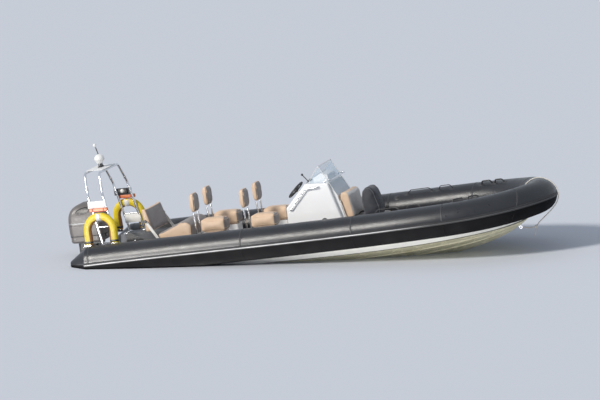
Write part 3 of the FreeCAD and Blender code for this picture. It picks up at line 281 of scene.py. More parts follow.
#  columns: key, name, colour, colour of its patches, scale of the patches, roughness, kind of grain,
#  scale of the grain, its depth in mm, other settings
FINISHES = [
    ("hull", "hull_gelcoat", HULL_WHITE, (0.86, 0.85, 0.80), 1.6, (0.16, 0.34), "noise", 60, 0.6,
     {"coat": 0.3, "more": hull_stains_and_chine_shade}),
    ("collar", "collar_fabric", (0.012, 0.013, 0.016), (0.020, 0.021, 0.026), 2.2, (0.27, 0.36), "weave",
     260, 0.6, {"specular": 0.52, "streak": (0.5, 1.4, 1.4)}),
    # painted shade: the belly finish is a darker, nearly unreflecting copy of the collar's, for the faces
    # that look down
    ("belly", "collar_belly_painted_shade", (0.005, 0.005, 0.006), (0.010, 0.010, 0.011), 3, (0.55, 0.75), "weave", 260,
     0.6, {"specular": 0.06}),
    ("strake", "strake_rubber", (0.022, 0.022, 0.024), (0.040, 0.040, 0.042), 5, (0.42, 0.6), "noise", 240,
     0.8, {"specular": 0.3}),
    # painted highlight: the strake's pale line, made dark forward of x 1.3 to 2.3 where the highlight fades
    ("strake_highlight", "strake_highlight", (0.62, 0.62, 0.63), (0.36, 0.36, 0.37), 4, (0.3, 0.5), "noise", 120, 0.5,
     {"more": split_at("X", 1.3, 2.3, (0.055, 0.055, 0.058))}),
    ("tape", "seam_tape", (0.022, 0.023, 0.026), (0.036, 0.037, 0.041), 6, (0.38, 0.5), "weave", 260, 0.6,
     {}),
    ("deck", "deck_gelcoat", (0.62, 0.61, 0.58), (0.48, 0.47, 0.44), 2.2, (0.45, 0.65), "tread", 55, 1.6,
     {}),
    ("white", "white_gelcoat", (0.86, 0.86, 0.85), (0.80, 0.80, 0.79), 2, (0.10, 0.24), "noise", 40, 0.5,
     {"coat": 0.4, "worn": (0.93, 0.93, 0.93)}),
    ("plastic", "white_plastic", (0.84, 0.83, 0.79), (0.76, 0.75, 0.70), 9, (0.28, 0.42), "noise", 320, 0.4,
     {}),
    ("mast", "mast_finish", (0.045, 0.045, 0.048), (0.075, 0.075, 0.078), 9, (0.28, 0.42), "noise", 320,
     0.4, {"more": split_at("Z", LIGHT_BALL_Z - 0.004, LIGHT_BALL_Z, (0.86, 0.86, 0.84))}),
    ("dome", "dome_finish", (0.05, 0.05, 0.053), (0.08, 0.08, 0.083), 9, (0.22, 0.36), "noise", 320, 0.4,
     {"coat": 0.2, "more": split_at("Z", DOME_FOOT_Z - 0.004, DOME_FOOT_Z, (0.85, 0.85, 0.82))}),
    # painted shade: past y 0.56 the port plate is coloured near black all over, standing for the shade it
    # sits in
    ("plates", "plate_finish", (0.86, 0.86, 0.85), (0.78, 0.78, 0.77), 4, (0.48, 0.62), "noise", 90, 0.4,
     {"more": split_at("Y", 0.55, 0.56, (0.025, 0.025, 0.027))}),
    ("tread", "tread_mat", (0.20, 0.205, 0.21), (0.15, 0.155, 0.16), 4, (0.6, 0.8), "tread", 70, 2.0,
     {"specular": 0.3}),
    ("slate", "locker_top", (0.105, 0.112, 0.125), (0.075, 0.080, 0.090), 5, (0.40, 0.58), "tread", 60, 1.2,
     {}),
    ("gusset", "gusset_paint", (0.018, 0.018, 0.020), (0.035, 0.035, 0.038), 7, (0.30, 0.46), "noise", 200,
     0.5, {"specular": 0.3}),
    ("display", "display_glass", (0.008, 0.010, 0.014), (0.016, 0.020, 0.028), 6, (0.06, 0.14), "noise",
     120, 0.2, {"coat": 0.6}),
    ("reflector", "reflector_tape", (0.80, 0.80, 0.79), (0.64, 0.64, 0.63), 18, (0.25, 0.40), "leather",
     420, 0.6, {}),
    ("red", "red_webbing", (0.46, 0.045, 0.020), (0.34, 0.030, 0.014), 14, (0.5, 0.65), "weave", 320, 1.0,
     {}),
    ("zinc", "anode_zinc", (0.40, 0.41, 0.42), (0.26, 0.27, 0.28), 18, (0.5, 0.7), "noise", 90, 1.8,
     {"metal": 0.7}),
    ("steel", "stainless", (0.74, 0.75, 0.77), (0.60, 0.61, 0.63), 8, (0.10, 0.22), "noise", 90, 0.3,
     {"metal": 1.0}),
    ("beige", "beige_vinyl", (0.76, 0.55, 0.38), (0.66, 0.47, 0.32), 5, (0.42, 0.6), "leather", 240, 0.9,
     {"sheen": 0.15}),
    # painted shade: the beige as it looks in shade, a darker copy given to faces turned from the key lamp
    ("shaded_beige", "beige_vinyl_painted_shade", (0.30, 0.265, 0.25), (0.22, 0.195, 0.185), 5, (0.45, 0.6), "leather", 240, 0.9,
     {"sheen": 0.15}),
    # painted shade tone: a light grey for the front seat back's forward face, standing for the beige's grey
    # look in shade
    ("pale", "beige_shade_grey_vinyl", (0.68, 0.65, 0.62), (0.56, 0.53, 0.50), 5, (0.42, 0.6), "leather", 240, 0.9,
     {"sheen": 0.15}),
    ("arm", "arm_paint", (0.78, 0.77, 0.73), (0.62, 0.61, 0.57), 9, (0.25, 0.4), "noise", 120, 0.5,
     {"worn": (0.55, 0.55, 0.56)}),
    ("bag", "valise_cloth", (0.012, 0.014, 0.022), (0.030, 0.033, 0.045), 6, (0.5, 0.7), "weave", 180, 1.2,
     {"sheen": 0.2}),
    ("strap", "webbing", (0.055, 0.058, 0.070), (0.035, 0.037, 0.045), 14, (0.5, 0.7), "weave", 320, 1.2,
     {}),
    ("black", "black_plastic", (0.018, 0.018, 0.019), (0.040, 0.040, 0.042), 9, (0.30, 0.48), "noise", 260,
     0.5, {}),
    ("buoy", "buoy_cover", (0.80, 0.62, 0.015), (0.72, 0.53, 0.012), 4, (0.35, 0.5), "weave", 220, 1.0,
     {"worn": (0.86, 0.72, 0.10)}),
    ("buoy_edge", "buoy_edge", (0.36, 0.16, 0.025), (0.24, 0.10, 0.018), 9, (0.5, 0.65), "weave", 220, 1.0,
     {}),
    ("orange", "orange_plastic", (0.80, 0.24, 0.075), (0.66, 0.18, 0.05), 9, (0.28, 0.45), "noise", 220,
     0.5, {}),
    ("cowl", "cowl_lacquer", (0.155, 0.140, 0.135), (0.130, 0.118, 0.114), 3, (0.34, 0.48), "noise", 240,
     0.2, {}),
    ("motor", "motor_paint", (0.075, 0.072, 0.072), (0.050, 0.048, 0.048), 6, (0.28, 0.42), "noise", 200,
     0.4, {"coat": 0.2}),
    ("casting", "cast_metal", (0.30, 0.30, 0.31), (0.20, 0.20, 0.21), 12, (0.4, 0.6), "noise", 150, 1.5,
     {"metal": 0.9}),
    ("screw", "screw_metal", (0.52, 0.53, 0.54), (0.38, 0.39, 0.40), 12, (0.18, 0.32), "noise", 90, 0.4,
     {"metal": 1.0}),
    ("rope", "rope_fibre", (0.70, 0.67, 0.62), (0.52, 0.49, 0.44), 22, (0.65, 0.85), "noise", 420, 1.5,
     {"sheen": 0.3}),
]


def glass_material():
    """Clear plastic sheet with smears and slight waves; its blue is a painted reflection of the sky."""
    mat = bpy.data.materials.new("screen_glass")
    mat.use_nodes = True
    tree = mat.node_tree
    shader = tree.nodes["Principled BSDF"]
    coords = node(tree, "ShaderNodeTexCoord")
    shader.inputs["Transmission Weight"].default_value = 0.0
    shader.inputs["Alpha"].default_value = 0.20
    smears = spread(tree, coords, 6.0, 5.0, 0.6, stretch=(1.0, 1.0, 3.0))
    amount = levels(tree, smears, "Fac", 0.4, 0.7)
    # painted reflection: the blue stands for sky mirrored in the screen; the smears mark real smudges
    colour = tint(tree, amount, "Result", (0.42, 0.58, 0.72), (0.62, 0.74, 0.84))
    tree.links.new(colour, shader.inputs["Base Color"])
    link(tree, levels(tree, smears, "Fac", 0.4, 0.75, 0.03, 0.14), "Result", shader, "Roughness")
    bump = node(tree, "ShaderNodeBump")
    bump.inputs["Distance"].default_value = 0.0008
    bump.inputs["Strength"].default_value = 0.4
    link(tree, spread(tree, coords, 5.0, 2.0), "Fac", bump, "Height")
    link(tree, bump, "Normal", shader, "Normal")
    return mat


MATS = {}
for key, name, colour, other, patch, rough, grain, grain_scale, grain_mm, extra in FINISHES:
    MATS[key] = material(name, colour, other, patch, rough, (grain, grain_scale, grain_mm / 1000), **extra)
MATS["glass"] = glass_material()

#  columns: finish, the nodes that get it
NODE_FINISH = {
    "hull": ["hull"],
    "collar": ["collar"],
    "strake": ["rubbing_strake"],
    "deck": ["deck"],
    "slate": ["quarter_lockers"],
    "gusset": ["quarter_plates"],
    "white": ["transom", "hatch_lid", "console", "jockey_pods", "bench_locker", "front_seat_locker",
              "instrument_pod"],
    "plates": ["arch_plates"],
    "mast": ["all_round_light"],
    "dome": ["aerial_dome"],
    "steel": ["arch_hoop_aft", "arch_hoop_fore", "arch_side_bars", "jockey_posts", "console_rails",
              "towing_eyes", "hatch_hinges", "bow_cleat"],
    "beige": ["jockey_cushions", "jockey_backs", "bench_cushion", "bench_back", "front_seat_cushion",
              "front_seat_back"],
    "arm": ["bench_arms"],
    "bag": ["raft_valise"],
    "black": ["collar_handles", "throttle", "steering_wheel"],
    "buoy": ["horseshoe_buoys"],
    "orange": ["buoy_lights"],
    "glass": ["windscreen"],
    "cowl": ["cowl_top", "cowl_pan"],
    "motor": ["clamp_bracket", "swivel_bracket", "mid_section", "gearcase"],
    "casting": ["powerhead"],
    "screw": ["propeller"],
    "rope": ["painter", "painter_knot", "painter_strop"],
}
BELLY_LEVEL = -0.05


def dress_nodes():
    """Gives each carried-over solid its finish, and the faces of the collar that look down the belly's: a
    darker copy of the collar's finish that is painted shade.
    """
    for key, names in NODE_FINISH.items():
        for name in names:
            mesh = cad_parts[name].data
            mesh.materials.clear()
            mesh.materials.append(MATS[key])
            for face in mesh.polygons:
                face.material_index = 0
    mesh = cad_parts["collar"].data
    mesh.materials.append(MATS["belly"])
    for face in mesh.polygons:
        face.material_index = 1 if face.normal.z < BELLY_LEVEL else 0


dress_nodes()


# Mesh helpers

UP, DOWN, FORE, AFT = (0, 0, 1), (0, 0, -1), (1, 0, 0), (-1, 0, 0)
PORT, STARBOARD = (0, 1, 0), (0, -1, 0)
CRISP_ANGLE = math.radians(35.0)


def add(name, body, finishes, mesh):
    """Puts a smooth mesh in the scene as a piece that moves with a body."""
    piece = bpy.data.objects.new(name, mesh)
    scene.collection.objects.link(piece)
    for finish in finishes if isinstance(finishes, list) else [finishes]:
        mesh.materials.append(MATS[finish])
    for face in mesh.polygons:
        face.use_smooth = True
    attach(piece, body)
    return piece


def curve_piece(name, body, finish, runs, radius, closed=False, smooth=False, sides=2):
    """Round bars along runs of points, all in one curve object."""
    curve = bpy.data.curves.new(name, "CURVE")
    curve.dimensions = "3D"
    curve.bevel_depth = radius
    curve.bevel_resolution = sides
    curve.use_fill_caps = True
    for run in runs:
        spline = curve.splines.new("NURBS" if smooth else "POLY")
        spline.points.add(len(run) - 1)
        for point, place in zip(spline.points, run):
            point.co = (*place, 1.0)
        spline.use_cyclic_u = closed
        if smooth:
            spline.order_u = 3
            spline.use_endpoint_u = True
            spline.resolution_u = 8
        spline.use_smooth = True
    curve.materials.append(MATS[finish])
    piece = bpy.data.objects.new(name, curve)
    scene.collection.objects.link(piece)
    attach(piece, body)
    return piece


def placed(at, direction=UP, along=None):
    """A frame at a point whose Z axis is a direction; along steers its X axis."""
    z = Vector(direction).normalized()
    x = Vector(along) if along else (Vector(FORE) if abs(z.x) < 0.9 else Vector(PORT))
    x = (x - z * x.dot(z)).normalized()
    return Matrix.Translation(at) @ Matrix((x, z.cross(x), z)).transposed().to_4x4()


def surface_of(mesh):
    """A mesh's surface, to find points on."""
    points = [v.co.copy() for v in mesh.vertices]
    return BVHTree.FromPolygons(points, [tuple(f.vertices) for f in mesh.polygons])


def tree_of(name):
    """A solid's surface, to find points on."""
    return surface_of(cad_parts[name].data)


def join_rows(bm, rows, closed=False):
    """Adds faces between rows of points; closed joins the end of each row to its start."""
    for a, b in zip(rows, rows[1:]):
        for j in range(len(a) if closed else len(a) - 1):
            k = (j + 1) % len(a)
            bm.faces.new((a[j], a[k], b[k], b[j]))


def tape_section(half, under, proud):
    """Steps across a tape: the place along and the height over the surface at its edges and its top."""
    return (-half, under), (-half + 0.001, proud), (half - 0.001, proud), (half, under)


def linked_from(verts):
    """All the points joined by edges to these."""
    seen, left = set(), list(verts)
    while left:
        v = left.pop()
        if v in seen:
            continue
        seen.add(v)
        left.extend(e.other_vert(v) for e in v.link_edges)
    return list(seen)


def put_block(bm, at, size, rounding=0.002, segments=2):
    """Adds a box with rounded edges, centred on a point or a frame."""
    made = bmesh.ops.create_cube(bm, size=1.0)["verts"]
    for v in made:
        v.co = Vector((v.co.x * size[0], v.co.y * size[1], v.co.z * size[2]))
    if rounding:
        edges = {e for v in made for e in v.link_edges}
        cut = bmesh.ops.bevel(bm, geom=list(edges), offset=rounding, segments=segments, affect="EDGES",
                              profile=0.5)
        made = linked_from({v for f in cut["faces"] for v in f.verts} | {v for v in made if v.is_valid})
    frame_at = at if isinstance(at, Matrix) else Matrix.Translation(at)
    bmesh.ops.transform(bm, matrix=frame_at, verts=made)


def put_lathe(bm, frame_at, profile, segments):
    """Adds a turned shape: profile holds (radius, height) from its lower to its upper end."""
    turns = [2 * math.pi * k / segments for k in range(segments)]
    rings = []
    for radius, height in profile:
        places = [Vector((radius * math.cos(turn), radius * math.sin(turn), height)) for turn in turns]
        rings.append([bm.verts.new(frame_at @ place) for place in places])
    join_rows(bm, rings, closed=True)
    bm.faces.new(list(reversed(rings[0])))
    bm.faces.new(rings[-1])


def put_knob(bm, frame_at, radius, rim, top, height, segments):
    """Adds a turned knob: straight up to its rim, then in to its top."""
    put_lathe(bm, frame_at, [(radius, 0), (radius, rim), (top, height)], segments)


def put_bolt(bm, at, direction, radius):
    """Adds a domed screw head."""
    put_lathe(bm, placed(at, direction), [(radius, 0), (radius, radius * 0.35), (radius * 0.8, radius * 0.6),
                                          (radius * 0.35, radius * 0.75)], 14)


def gathered(name, body, finishes, bm):
    """Makes one piece of the shapes gathered in bm."""
    bmesh.ops.recalc_face_normals(bm, faces=bm.faces)
    mesh = bpy.data.meshes.new(name)
    bm.to_mesh(mesh)
    bm.free()
    return add(name, body, finishes, mesh)


def fitting(name, body, finish, bm, crisp=True):
    """Makes one piece of gathered fittings; crisp keeps the edges where its faces meet steeply."""
    piece = gathered(name, body, finish, bm)
    if crisp:
        piece.data.set_sharp_from_angle(angle=CRISP_ANGLE)


def two_tone(mesh, rule):
    """Gives the faces that a rule picks by direction and place the second finish."""
    for face in mesh.polygons:
        face.material_index = 1 if rule(face.normal, face.center) else 0
        face.use_smooth = True


def spline_through(points, steps):
    """Points of a smooth line through given points, with steps for each gap."""
    pts = [Vector(p) for p in points]
    out = []
    for i in range(len(pts) - 1):
        a, b = pts[i], pts[i + 1]
        span = (b - a).length
        before = pts[i - 1] if i else a - (b - a)
        after = pts[i + 2] if i + 2 < len(pts) else b + (b - a)
        slope_a = (b - before) / ((b - a).length + (a - before).length) * span
        slope_b = (after - a) / ((after - b).length + (b - a).length) * span
        for k in range(steps):
            t = k / steps
            out.append(a * (2 * t ** 3 - 3 * t ** 2 + 1) + slope_a * (t ** 3 - 2 * t ** 2 + t)
                       + b * (3 * t ** 2 - 2 * t ** 3) + slope_b * (t ** 3 - t ** 2))
    return out + [pts[-1]]


def over_surface(bm, tree, rings, towards, lifts, cap=True):
    """Adds faces between closed rings of points dropped on a surface, each ring at its own height over it."""
    towards = Vector(towards).normalized()
    laid = []
    for ring, lift in zip(rings, lifts):
        row = []
        for p in ring:
            hit = tree.ray_cast(Vector(p), towards)
            row.append(bm.verts.new((hit[0] or tree.find_nearest(Vector(p))[0]) - towards * lift))
        laid.append(row)
    join_rows(bm, laid, closed=True)
    if cap:
        bm.faces.new(laid[0])


def oval(centre, u, v, a, b, count=40):
    """A ring of points: u and v are its directions, a and b its half sizes."""
    return [Vector(centre) + Vector(u) * (a * math.cos(2 * math.pi * k / count))
            + Vector(v) * (b * math.sin(2 * math.pi * k / count)) for k in range(count)]


def put_pad(bm, tree, centre, u, v, a, b, towards, lift):
    """Adds a thin oval pad that follows a surface."""
    rings = [oval(centre, u, v, a * share, b * share) for share in (0.3, 0.65, 0.93, 1.0)]
    over_surface(bm, tree, rings, towards, (lift, lift, lift, -0.001))


def put_girdle(bm, tree, centre, z0, z1, lift, count=120, reach=1.2):
    """Adds a thin band round a surface between two heights."""
    columns = []
    for k in range(count):
        turn = 2 * math.pi * k / count
        away = Vector((math.cos(turn), math.sin(turn), 0))
        column = []
        for z, rise in ((z0, -0.001), (z0, lift), (z1, lift), (z1, -0.001)):
            start = Vector((centre[0], centre[1], z)) + away * reach
            hit = tree.ray_cast(start, -away)
            column.append(bm.verts.new((hit[0] or tree.find_nearest(start)[0]) + away * rise))
        columns.append(column)
    join_rows(bm, columns + columns[:1])


# Floor, sky and lamps

FLOOR_HALF, FLOOR_COLOUR = 60.0, (0.66, 0.69, 0.74, 1.0)
SKY_COLOUR, SKY_STRENGTH = (0.80, 0.87, 1.0, 1.0), 0.50
BACKDROP_COLOUR, BACKDROP_STRENGTH = (0.64, 0.70, 0.78, 1.0), 0.95
KEY_DIRECTION, KEY_STRENGTH, KEY_ANGLE = (0.44, 0.70, -0.56), 2.75, 9.0
KEY_COLOUR, PANEL_COLOUR = (1.0, 0.96, 0.90), (1.0, 0.98, 0.94)

#  columns: name, size, place, direction it shines in, watts, whether it lights matt surfaces
PANELS = [("beside", (9.0, 1.6), (0.3, -2.0, -0.07), (0.07, 0.0, 1.0), 78.0, True),
          ("astern", (5.0, 0.8), (-5.2, -5.6, 0.75), (0.30, 0.95, 0.0), 400.0, False)]


def make_floor():
    """A plain pale plane under the running boat, clear when it is seen from below."""
    mesh = bpy.data.meshes.new("floor")
    corners = [(x * FLOOR_HALF, y * FLOOR_HALF, 0) for x, y in ((-1, -1), (1, -1), (1, 1), (-1, 1))]
    mesh.from_pydata(corners, [], [(0, 1, 2, 3)])
    floor = bpy.data.objects.new("floor", mesh)
    scene.collection.objects.link(floor)
    floor.location = (FLOOR_X, 0, FLOOR_Z)
    floor.rotation_euler = (0, RUNNING_TRIM, 0)
    mat = bpy.data.materials.new("floor_pale")
    mat.use_nodes = True
    tree = mat.node_tree
    shader = tree.nodes["Principled BSDF"]
    shader.inputs["Base Color"].default_value = FLOOR_COLOUR
    shader.inputs["Roughness"].default_value = 0.85
    shader.inputs["Specular IOR Level"].default_value = 0.0
    clear = node(tree, "ShaderNodeBsdfTransparent")
    side = node(tree, "ShaderNodeNewGeometry")
    mix = node(tree, "ShaderNodeMixShader")
    link(tree, side, "Backfacing", mix, 0)
    link(tree, shader, "BSDF", mix, 1)
    link(tree, clear, "BSDF", mix, 2)
    link(tree, mix, "Shader", tree.nodes["Material Output"], "Surface")
    mesh.materials.append(mat)


def make_sky():
    """An even pale sky, and the backdrop that the camera, gloss and glass see instead."""
    world = bpy.data.worlds.new("sky")
    scene.world = world
    world.use_nodes = True
    tree = world.node_tree
    sky = tree.nodes["Background"]
    sky.inputs["Color"].default_value = SKY_COLOUR
    sky.inputs["Strength"].default_value = SKY_STRENGTH
    seen = node(tree, "ShaderNodeBackground")
    seen.inputs["Color"].default_value = BACKDROP_COLOUR
    seen.inputs["Strength"].default_value = BACKDROP_STRENGTH
    ray = node(tree, "ShaderNodeLightPath")
    some = node(tree, "ShaderNodeMath", operation="MAXIMUM")
    link(tree, ray, "Is Camera Ray", some, 0)
    link(tree, ray, "Is Glossy Ray", some, 1)
    any_of = node(tree, "ShaderNodeMath", operation="MAXIMUM")
    link(tree, some, "Value", any_of, 0)
    link(tree, ray, "Is Transmission Ray", any_of, 1)
    mix = node(tree, "ShaderNodeMixShader")
    link(tree, any_of, "Value", mix, 0)
    link(tree, sky, "Background", mix, 1)
    link(tree, seen, "Background", mix, 2)
    link(tree, mix, "Shader", tree.nodes["World Output"], "Surface")


def make_lamps():
    """A soft key from aft of the starboard beam, and unseen panels beside the hull and astern of it."""
    lamp = bpy.data.lights.new("key", "SUN")
    lamp.energy = KEY_STRENGTH
    lamp.angle = math.radians(KEY_ANGLE)
    lamp.color = KEY_COLOUR
    key = bpy.data.objects.new("key", lamp)
    scene.collection.objects.link(key)
    key.rotation_euler = Vector(KEY_DIRECTION).to_track_quat("-Z", "Y").to_euler()
    for name, size, at, toward, watts, matt in PANELS:
        lamp = bpy.data.lights.new(name, "AREA")
        lamp.shape = "RECTANGLE"
        lamp.size, lamp.size_y = size
        lamp.energy = watts
        lamp.color = PANEL_COLOUR
        panel = bpy.data.objects.new(name, lamp)
        scene.collection.objects.link(panel)
        panel.matrix_world = placed(at, [-v for v in toward], FORE)
        panel.visible_camera = False
        panel.visible_diffuse = matt
        panel.visible_transmission = matt


make_floor()
make_sky()
make_lamps()


# Collar: the line of the starboard tube, from its stern end to the middle of the bow
TUBE_R = 0.272
TUBE_PATH = [(-3.895, -1.096, 0.268), (-2.2, -1.099, 0.320), (-0.6, -1.1, 0.360), (0.9, -1.098, 0.406),
             (2.15, -1.08, 0.458), (2.8, -0.985, 0.490), (3.32, -0.755, 0.528), (3.69, -0.405, 0.568),
             (3.828, 0, 0.585)]
tube_line = spline_through(TUBE_PATH + [(x, -y, z) for x, y, z in reversed(TUBE_PATH[:-1])], 24)
collar_tree = tree_of("collar")


def tube_index(x, side):
    """The place on the tube's line that is nearest to x, on one side of the boat (-1 starboard)."""
    half = range(len(tube_line) // 2 + 1) if side < 0 else range(len(tube_line) // 2, len(tube_line))
    return min(half, key=lambda i: abs(tube_line[i].x - x))


def tube_frame(i):
    """Centre, direction, outboard and upward directions of the tube at a place on its line."""
    a, b = tube_line[max(i - 1, 0)], tube_line[min(i + 1, len(tube_line) - 1)]
    along = (b - a).normalized()
    out = along.cross(Vector(UP)).normalized()
    return tube_line[i], along, out, out.cross(along)


def on_tube(centre, along, out, up, clock, lift=0.0, slide=0.0):
    """A point on the collar, clock degrees above its outboard side, and the direction out of it."""
    turn = math.radians(clock)
    away = out * math.cos(turn) + up * math.sin(turn)
    start = centre + along * slide
    hit = collar_tree.ray_cast(start, away)
    distance = hit[3] if hit[0] else TUBE_R
    return start + away * (distance + lift), away


#  columns: x of the seam, how far it leans forward from side to top
SEAMS = [(-3.84, 0.0), (-1.05, 0.0), (0.925, 0.0), (2.44, 0.0), (3.47, -0.13)]


def seam_tapes():
    """Glued tapes round the collar where its panels meet."""
    bm = bmesh.new()
    for x, slant in SEAMS:
        for side in (-1, 1):
            centre, along, out, up = tube_frame(tube_index(x, side))
            rings = []
            for clock in range(0, 361, 5):
                lean = slant * side * math.cos(math.radians(clock - 90))
                rings.append([bm.verts.new(on_tube(centre, along, out, up, clock, lift, slide + lean)[0])
                              for slide, lift in tape_section(0.016, -0.001, 0.0016)])
            join_rows(bm, rings)
    tapes = gathered("collar_seam_tapes", "boat", ["tape", "belly"], bm)
    # painted shade: the tapes' downward faces take the darker belly finish too
    two_tone(tapes.data, lambda n, c: n.z < BELLY_LEVEL)


seam_tapes()


def strake_highlight_bead():
    """A bead along the lower edge of the rubbing strake, coloured as a painted highlight: pale aft, dark
    forward where the highlight fades.
    """
    strake_tree = tree_of("rubbing_strake")
    run = []
    for i in range(len(tube_line)):
        centre, along, out, up = tube_frame(i)
        hit = strake_tree.ray_cast(centre - up * 0.006 + out * 0.6, -out)
        if hit[0]:
            run.append(hit[0])
    curve_piece("strake_highlight_bead", "boat", "strake_highlight", [run], 0.008)


strake_highlight_bead()


# Padded pieces

def solid_copy(name, source, keep=None):
    """A mesh copied from a solid, or from the part of it whose points keep picks."""
    bm = bmesh.new()
    bm.from_mesh(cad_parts[source].data)
    bmesh.ops.remove_doubles(bm, verts=bm.verts, dist=0.0002)
    if keep:
        bmesh.ops.delete(bm, geom=[v for v in bm.verts if not keep(v.co)], context="VERTS")
    mesh = bpy.data.meshes.new(name)
    bm.to_mesh(mesh)
    bm.free()
    return mesh


def shrunk(mesh, by):
    """Draws a mesh in along its own directions, so that it has room to swell."""
    low = Vector([min(v.co[i] for v in mesh.vertices) for i in range(3)])
    high = Vector([max(v.co[i] for v in mesh.vertices) for i in range(3)])
    middle, size = (low + high) / 2, high - low
    for v in mesh.vertices:
        v.co = middle + Vector([(v.co[i] - middle[i]) * (1 - 2 * by / size[i]) for i in range(3)])


def evaluated(piece):
    """A new mesh with the piece's modifiers applied; the modifiers go."""
    mesh = bpy.data.meshes.new_from_object(piece.evaluated_get(bpy.context.evaluated_depsgraph_get()))
    piece.modifiers.clear()
    return mesh


def puffed(mesh, voxel, cap, pressure=4.0, last_frame=20):
    """Swells a closed mesh like a stuffed cover, then keeps each point within cap of where it was."""
    piece = bpy.data.objects.new("puffing", mesh)
    scene.collection.objects.link(piece)
    remesh = piece.modifiers.new("remesh", "REMESH")
    remesh.mode = "VOXEL"
    remesh.voxel_size = voxel
    shaped = evaluated(piece)
    piece.data = shaped
    rest = [v.co.copy() for v in shaped.vertices]
    cloth = piece.modifiers.new("cloth", "CLOTH")
    cloth.settings.use_pressure = True
    cloth.settings.uniform_pressure_force = pressure
    cloth.settings.effector_weights.gravity = 0.0
    cloth.settings.quality = 4
    cloth.point_cache.frame_start, cloth.point_cache.frame_end = 1, last_frame
    for step in range(1, last_frame + 1):
        scene.frame_set(step)
    shaped = evaluated(piece)
    scene.frame_set(1)
    for v, was in zip(shaped.vertices, rest):
        move = v.co - was
        if move.length > cap:
            v.co = was + move.normalized() * cap
    bpy.data.objects.remove(piece)
    return shaped


def settled(piece, steps=1):
    """Applies a smoothing and a subdivision to a swollen cover."""
    piece.modifiers.new("smooth", "SMOOTH").iterations = 3
    if steps:
        finer = piece.modifiers.new("finer", "SUBSURF")
        finer.levels = finer.render_levels = steps
    piece.data = evaluated(piece)


def stands_for(node_name):
    """Hides the solid that a padded piece takes the place of."""
    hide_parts(node_name)


def padded_piece(name, node_name, draw_in, voxel, cap, finishes, rule=None,
                 pressure=4.0):
    """A soft solid as a swollen cover; the faces that a rule picks get its second finish."""
    mesh = solid_copy(name, node_name)
    shrunk(mesh, draw_in)
    piece = add(name, "boat", finishes, puffed(mesh, voxel, cap, pressure))
    settled(piece)
    if rule:
        two_tone(piece.data, rule)
    stands_for(node_name)
    return piece


def piping(name, piece, runs, radius, finish="beige", reach=0.06):
    """Sewn cords that lie on a cover, along runs of points near it."""
    tree = surface_of(piece.data)
    laid = [[tree.find_nearest(Vector(p), reach)[0] or Vector(p) for p in run] for run in runs]
    curve_piece(name, "boat", finish, laid, radius, closed=True)


def loop_in(plane, at, low, high, rounding, steps=6):
    """A rounded rectangle in a plane: plane is the index of the axis across it."""
    u, v = [i for i in range(3) if i != plane]
    out = []
    corners = [(high[0] - rounding, high[1] - rounding, 0), (low[0] + rounding, high[1] - rounding, 90),
               (low[0] + rounding, low[1] + rounding, 180), (high[0] - rounding, low[1] + rounding, 270)]
    for cu, cv, start in corners:
        for k in range(steps + 1):
            turn = math.radians(start + 90 * k / steps)
            point = [0.0, 0.0, 0.0]
            point[plane] = at
            point[u] = cu + rounding * math.cos(turn)
            point[v] = cv + rounding * math.sin(turn)
            out.append(tuple(point))
    return out


def dense(run, step=0.02):
    """The same closed run with points no further apart than a step."""
    out = []
    for a, b in zip(run, run[1:] + run[:1]):
        a, b = Vector(a), Vector(b)
        count = max(1, math.ceil((b - a).length / step))
        out += [a.lerp(b, k / count) for k in range(count)]
    return out


def side_runs(side, ys):
    """Closed runs round a side view, given as (x, z), at places across the boat."""
    return [dense([(x, y, z) for x, z in side]) for y in ys]


SEAT_ROWS, SEAT_Y = [-2.15, -1.245], 0.345
SEAT_START, SEAT_LENGTH, SEAT_WIDTH = 0.092, 0.465, 0.300
SEAT_TOP, SEAT_CUSHION_H = 0.745, 0.235
PAD_WIDTH, PAD_BOTTOM, PAD_TOP = 0.310, 0.855, 1.212


def jockey_seats():
    """Four cushions and four backs, each swollen once and set in its four places."""
    x0 = SEAT_ROWS[0]

    def first_port(p):
        return p.x < -1.4 and p.y > 0

    seat = solid_copy("seat", "jockey_cushions", first_port)
    shrunk(seat, 0.012)
    seat = puffed(seat, 0.009, 0.016)
    back = solid_copy("back", "jockey_backs", first_port)
    shrunk(back, 0.010)
    back = puffed(back, 0.008, 0.014)
    middle, half = (PAD_BOTTOM + PAD_TOP) / 2, (PAD_TOP - PAD_BOTTOM) / 2
    for v in back.vertices:
        high = abs(v.co.z - middle) / half
        v.co.y = SEAT_Y + (v.co.y - SEAT_Y) * (1 - 0.30 * high ** 2.6)
        v.co.x = x0 + (v.co.x - x0) * (1.06 - 0.34 * high ** 2.2)
    number = 0
    for x in SEAT_ROWS:
        for y in (-SEAT_Y, SEAT_Y):
            number += 1
            for kind, source in (("cushion", seat), ("back", back)):
                mesh = source.copy()
                mesh.transform(Matrix.Translation((x - x0, y - SEAT_Y, 0)))
                piece = add("jockey_%s_%d" % (kind, number), "boat", ["beige", "shaded_beige"], mesh)
                settled(piece, 0)
                # painted shade: the forward faces take the shaded copy of the beige
                two_tone(piece.data, lambda n, c: n.x > 0.55)
                stands_for("jockey_%ss" % kind)
                if kind == "cushion":
                    low = x + SEAT_START, y - SEAT_WIDTH / 2
                    high = x + SEAT_START + SEAT_LENGTH, y + SEAT_WIDTH / 2
                    levels_at = SEAT_TOP - 0.035, SEAT_TOP - SEAT_CUSHION_H + 0.05
                    runs = [dense(loop_in(2, z, low, high, 0.05)) for z in levels_at]
                else:
                    low, high = (y - PAD_WIDTH / 2, PAD_BOTTOM), (y + PAD_WIDTH / 2, PAD_TOP)
                    runs = [dense(loop_in(0, x + d, low, high, 0.12)) for d in (-0.03, 0.03)]
                piping("jockey_%s_piping_%d" % (kind, number), piece, runs, 0.0035)


jockey_seats()


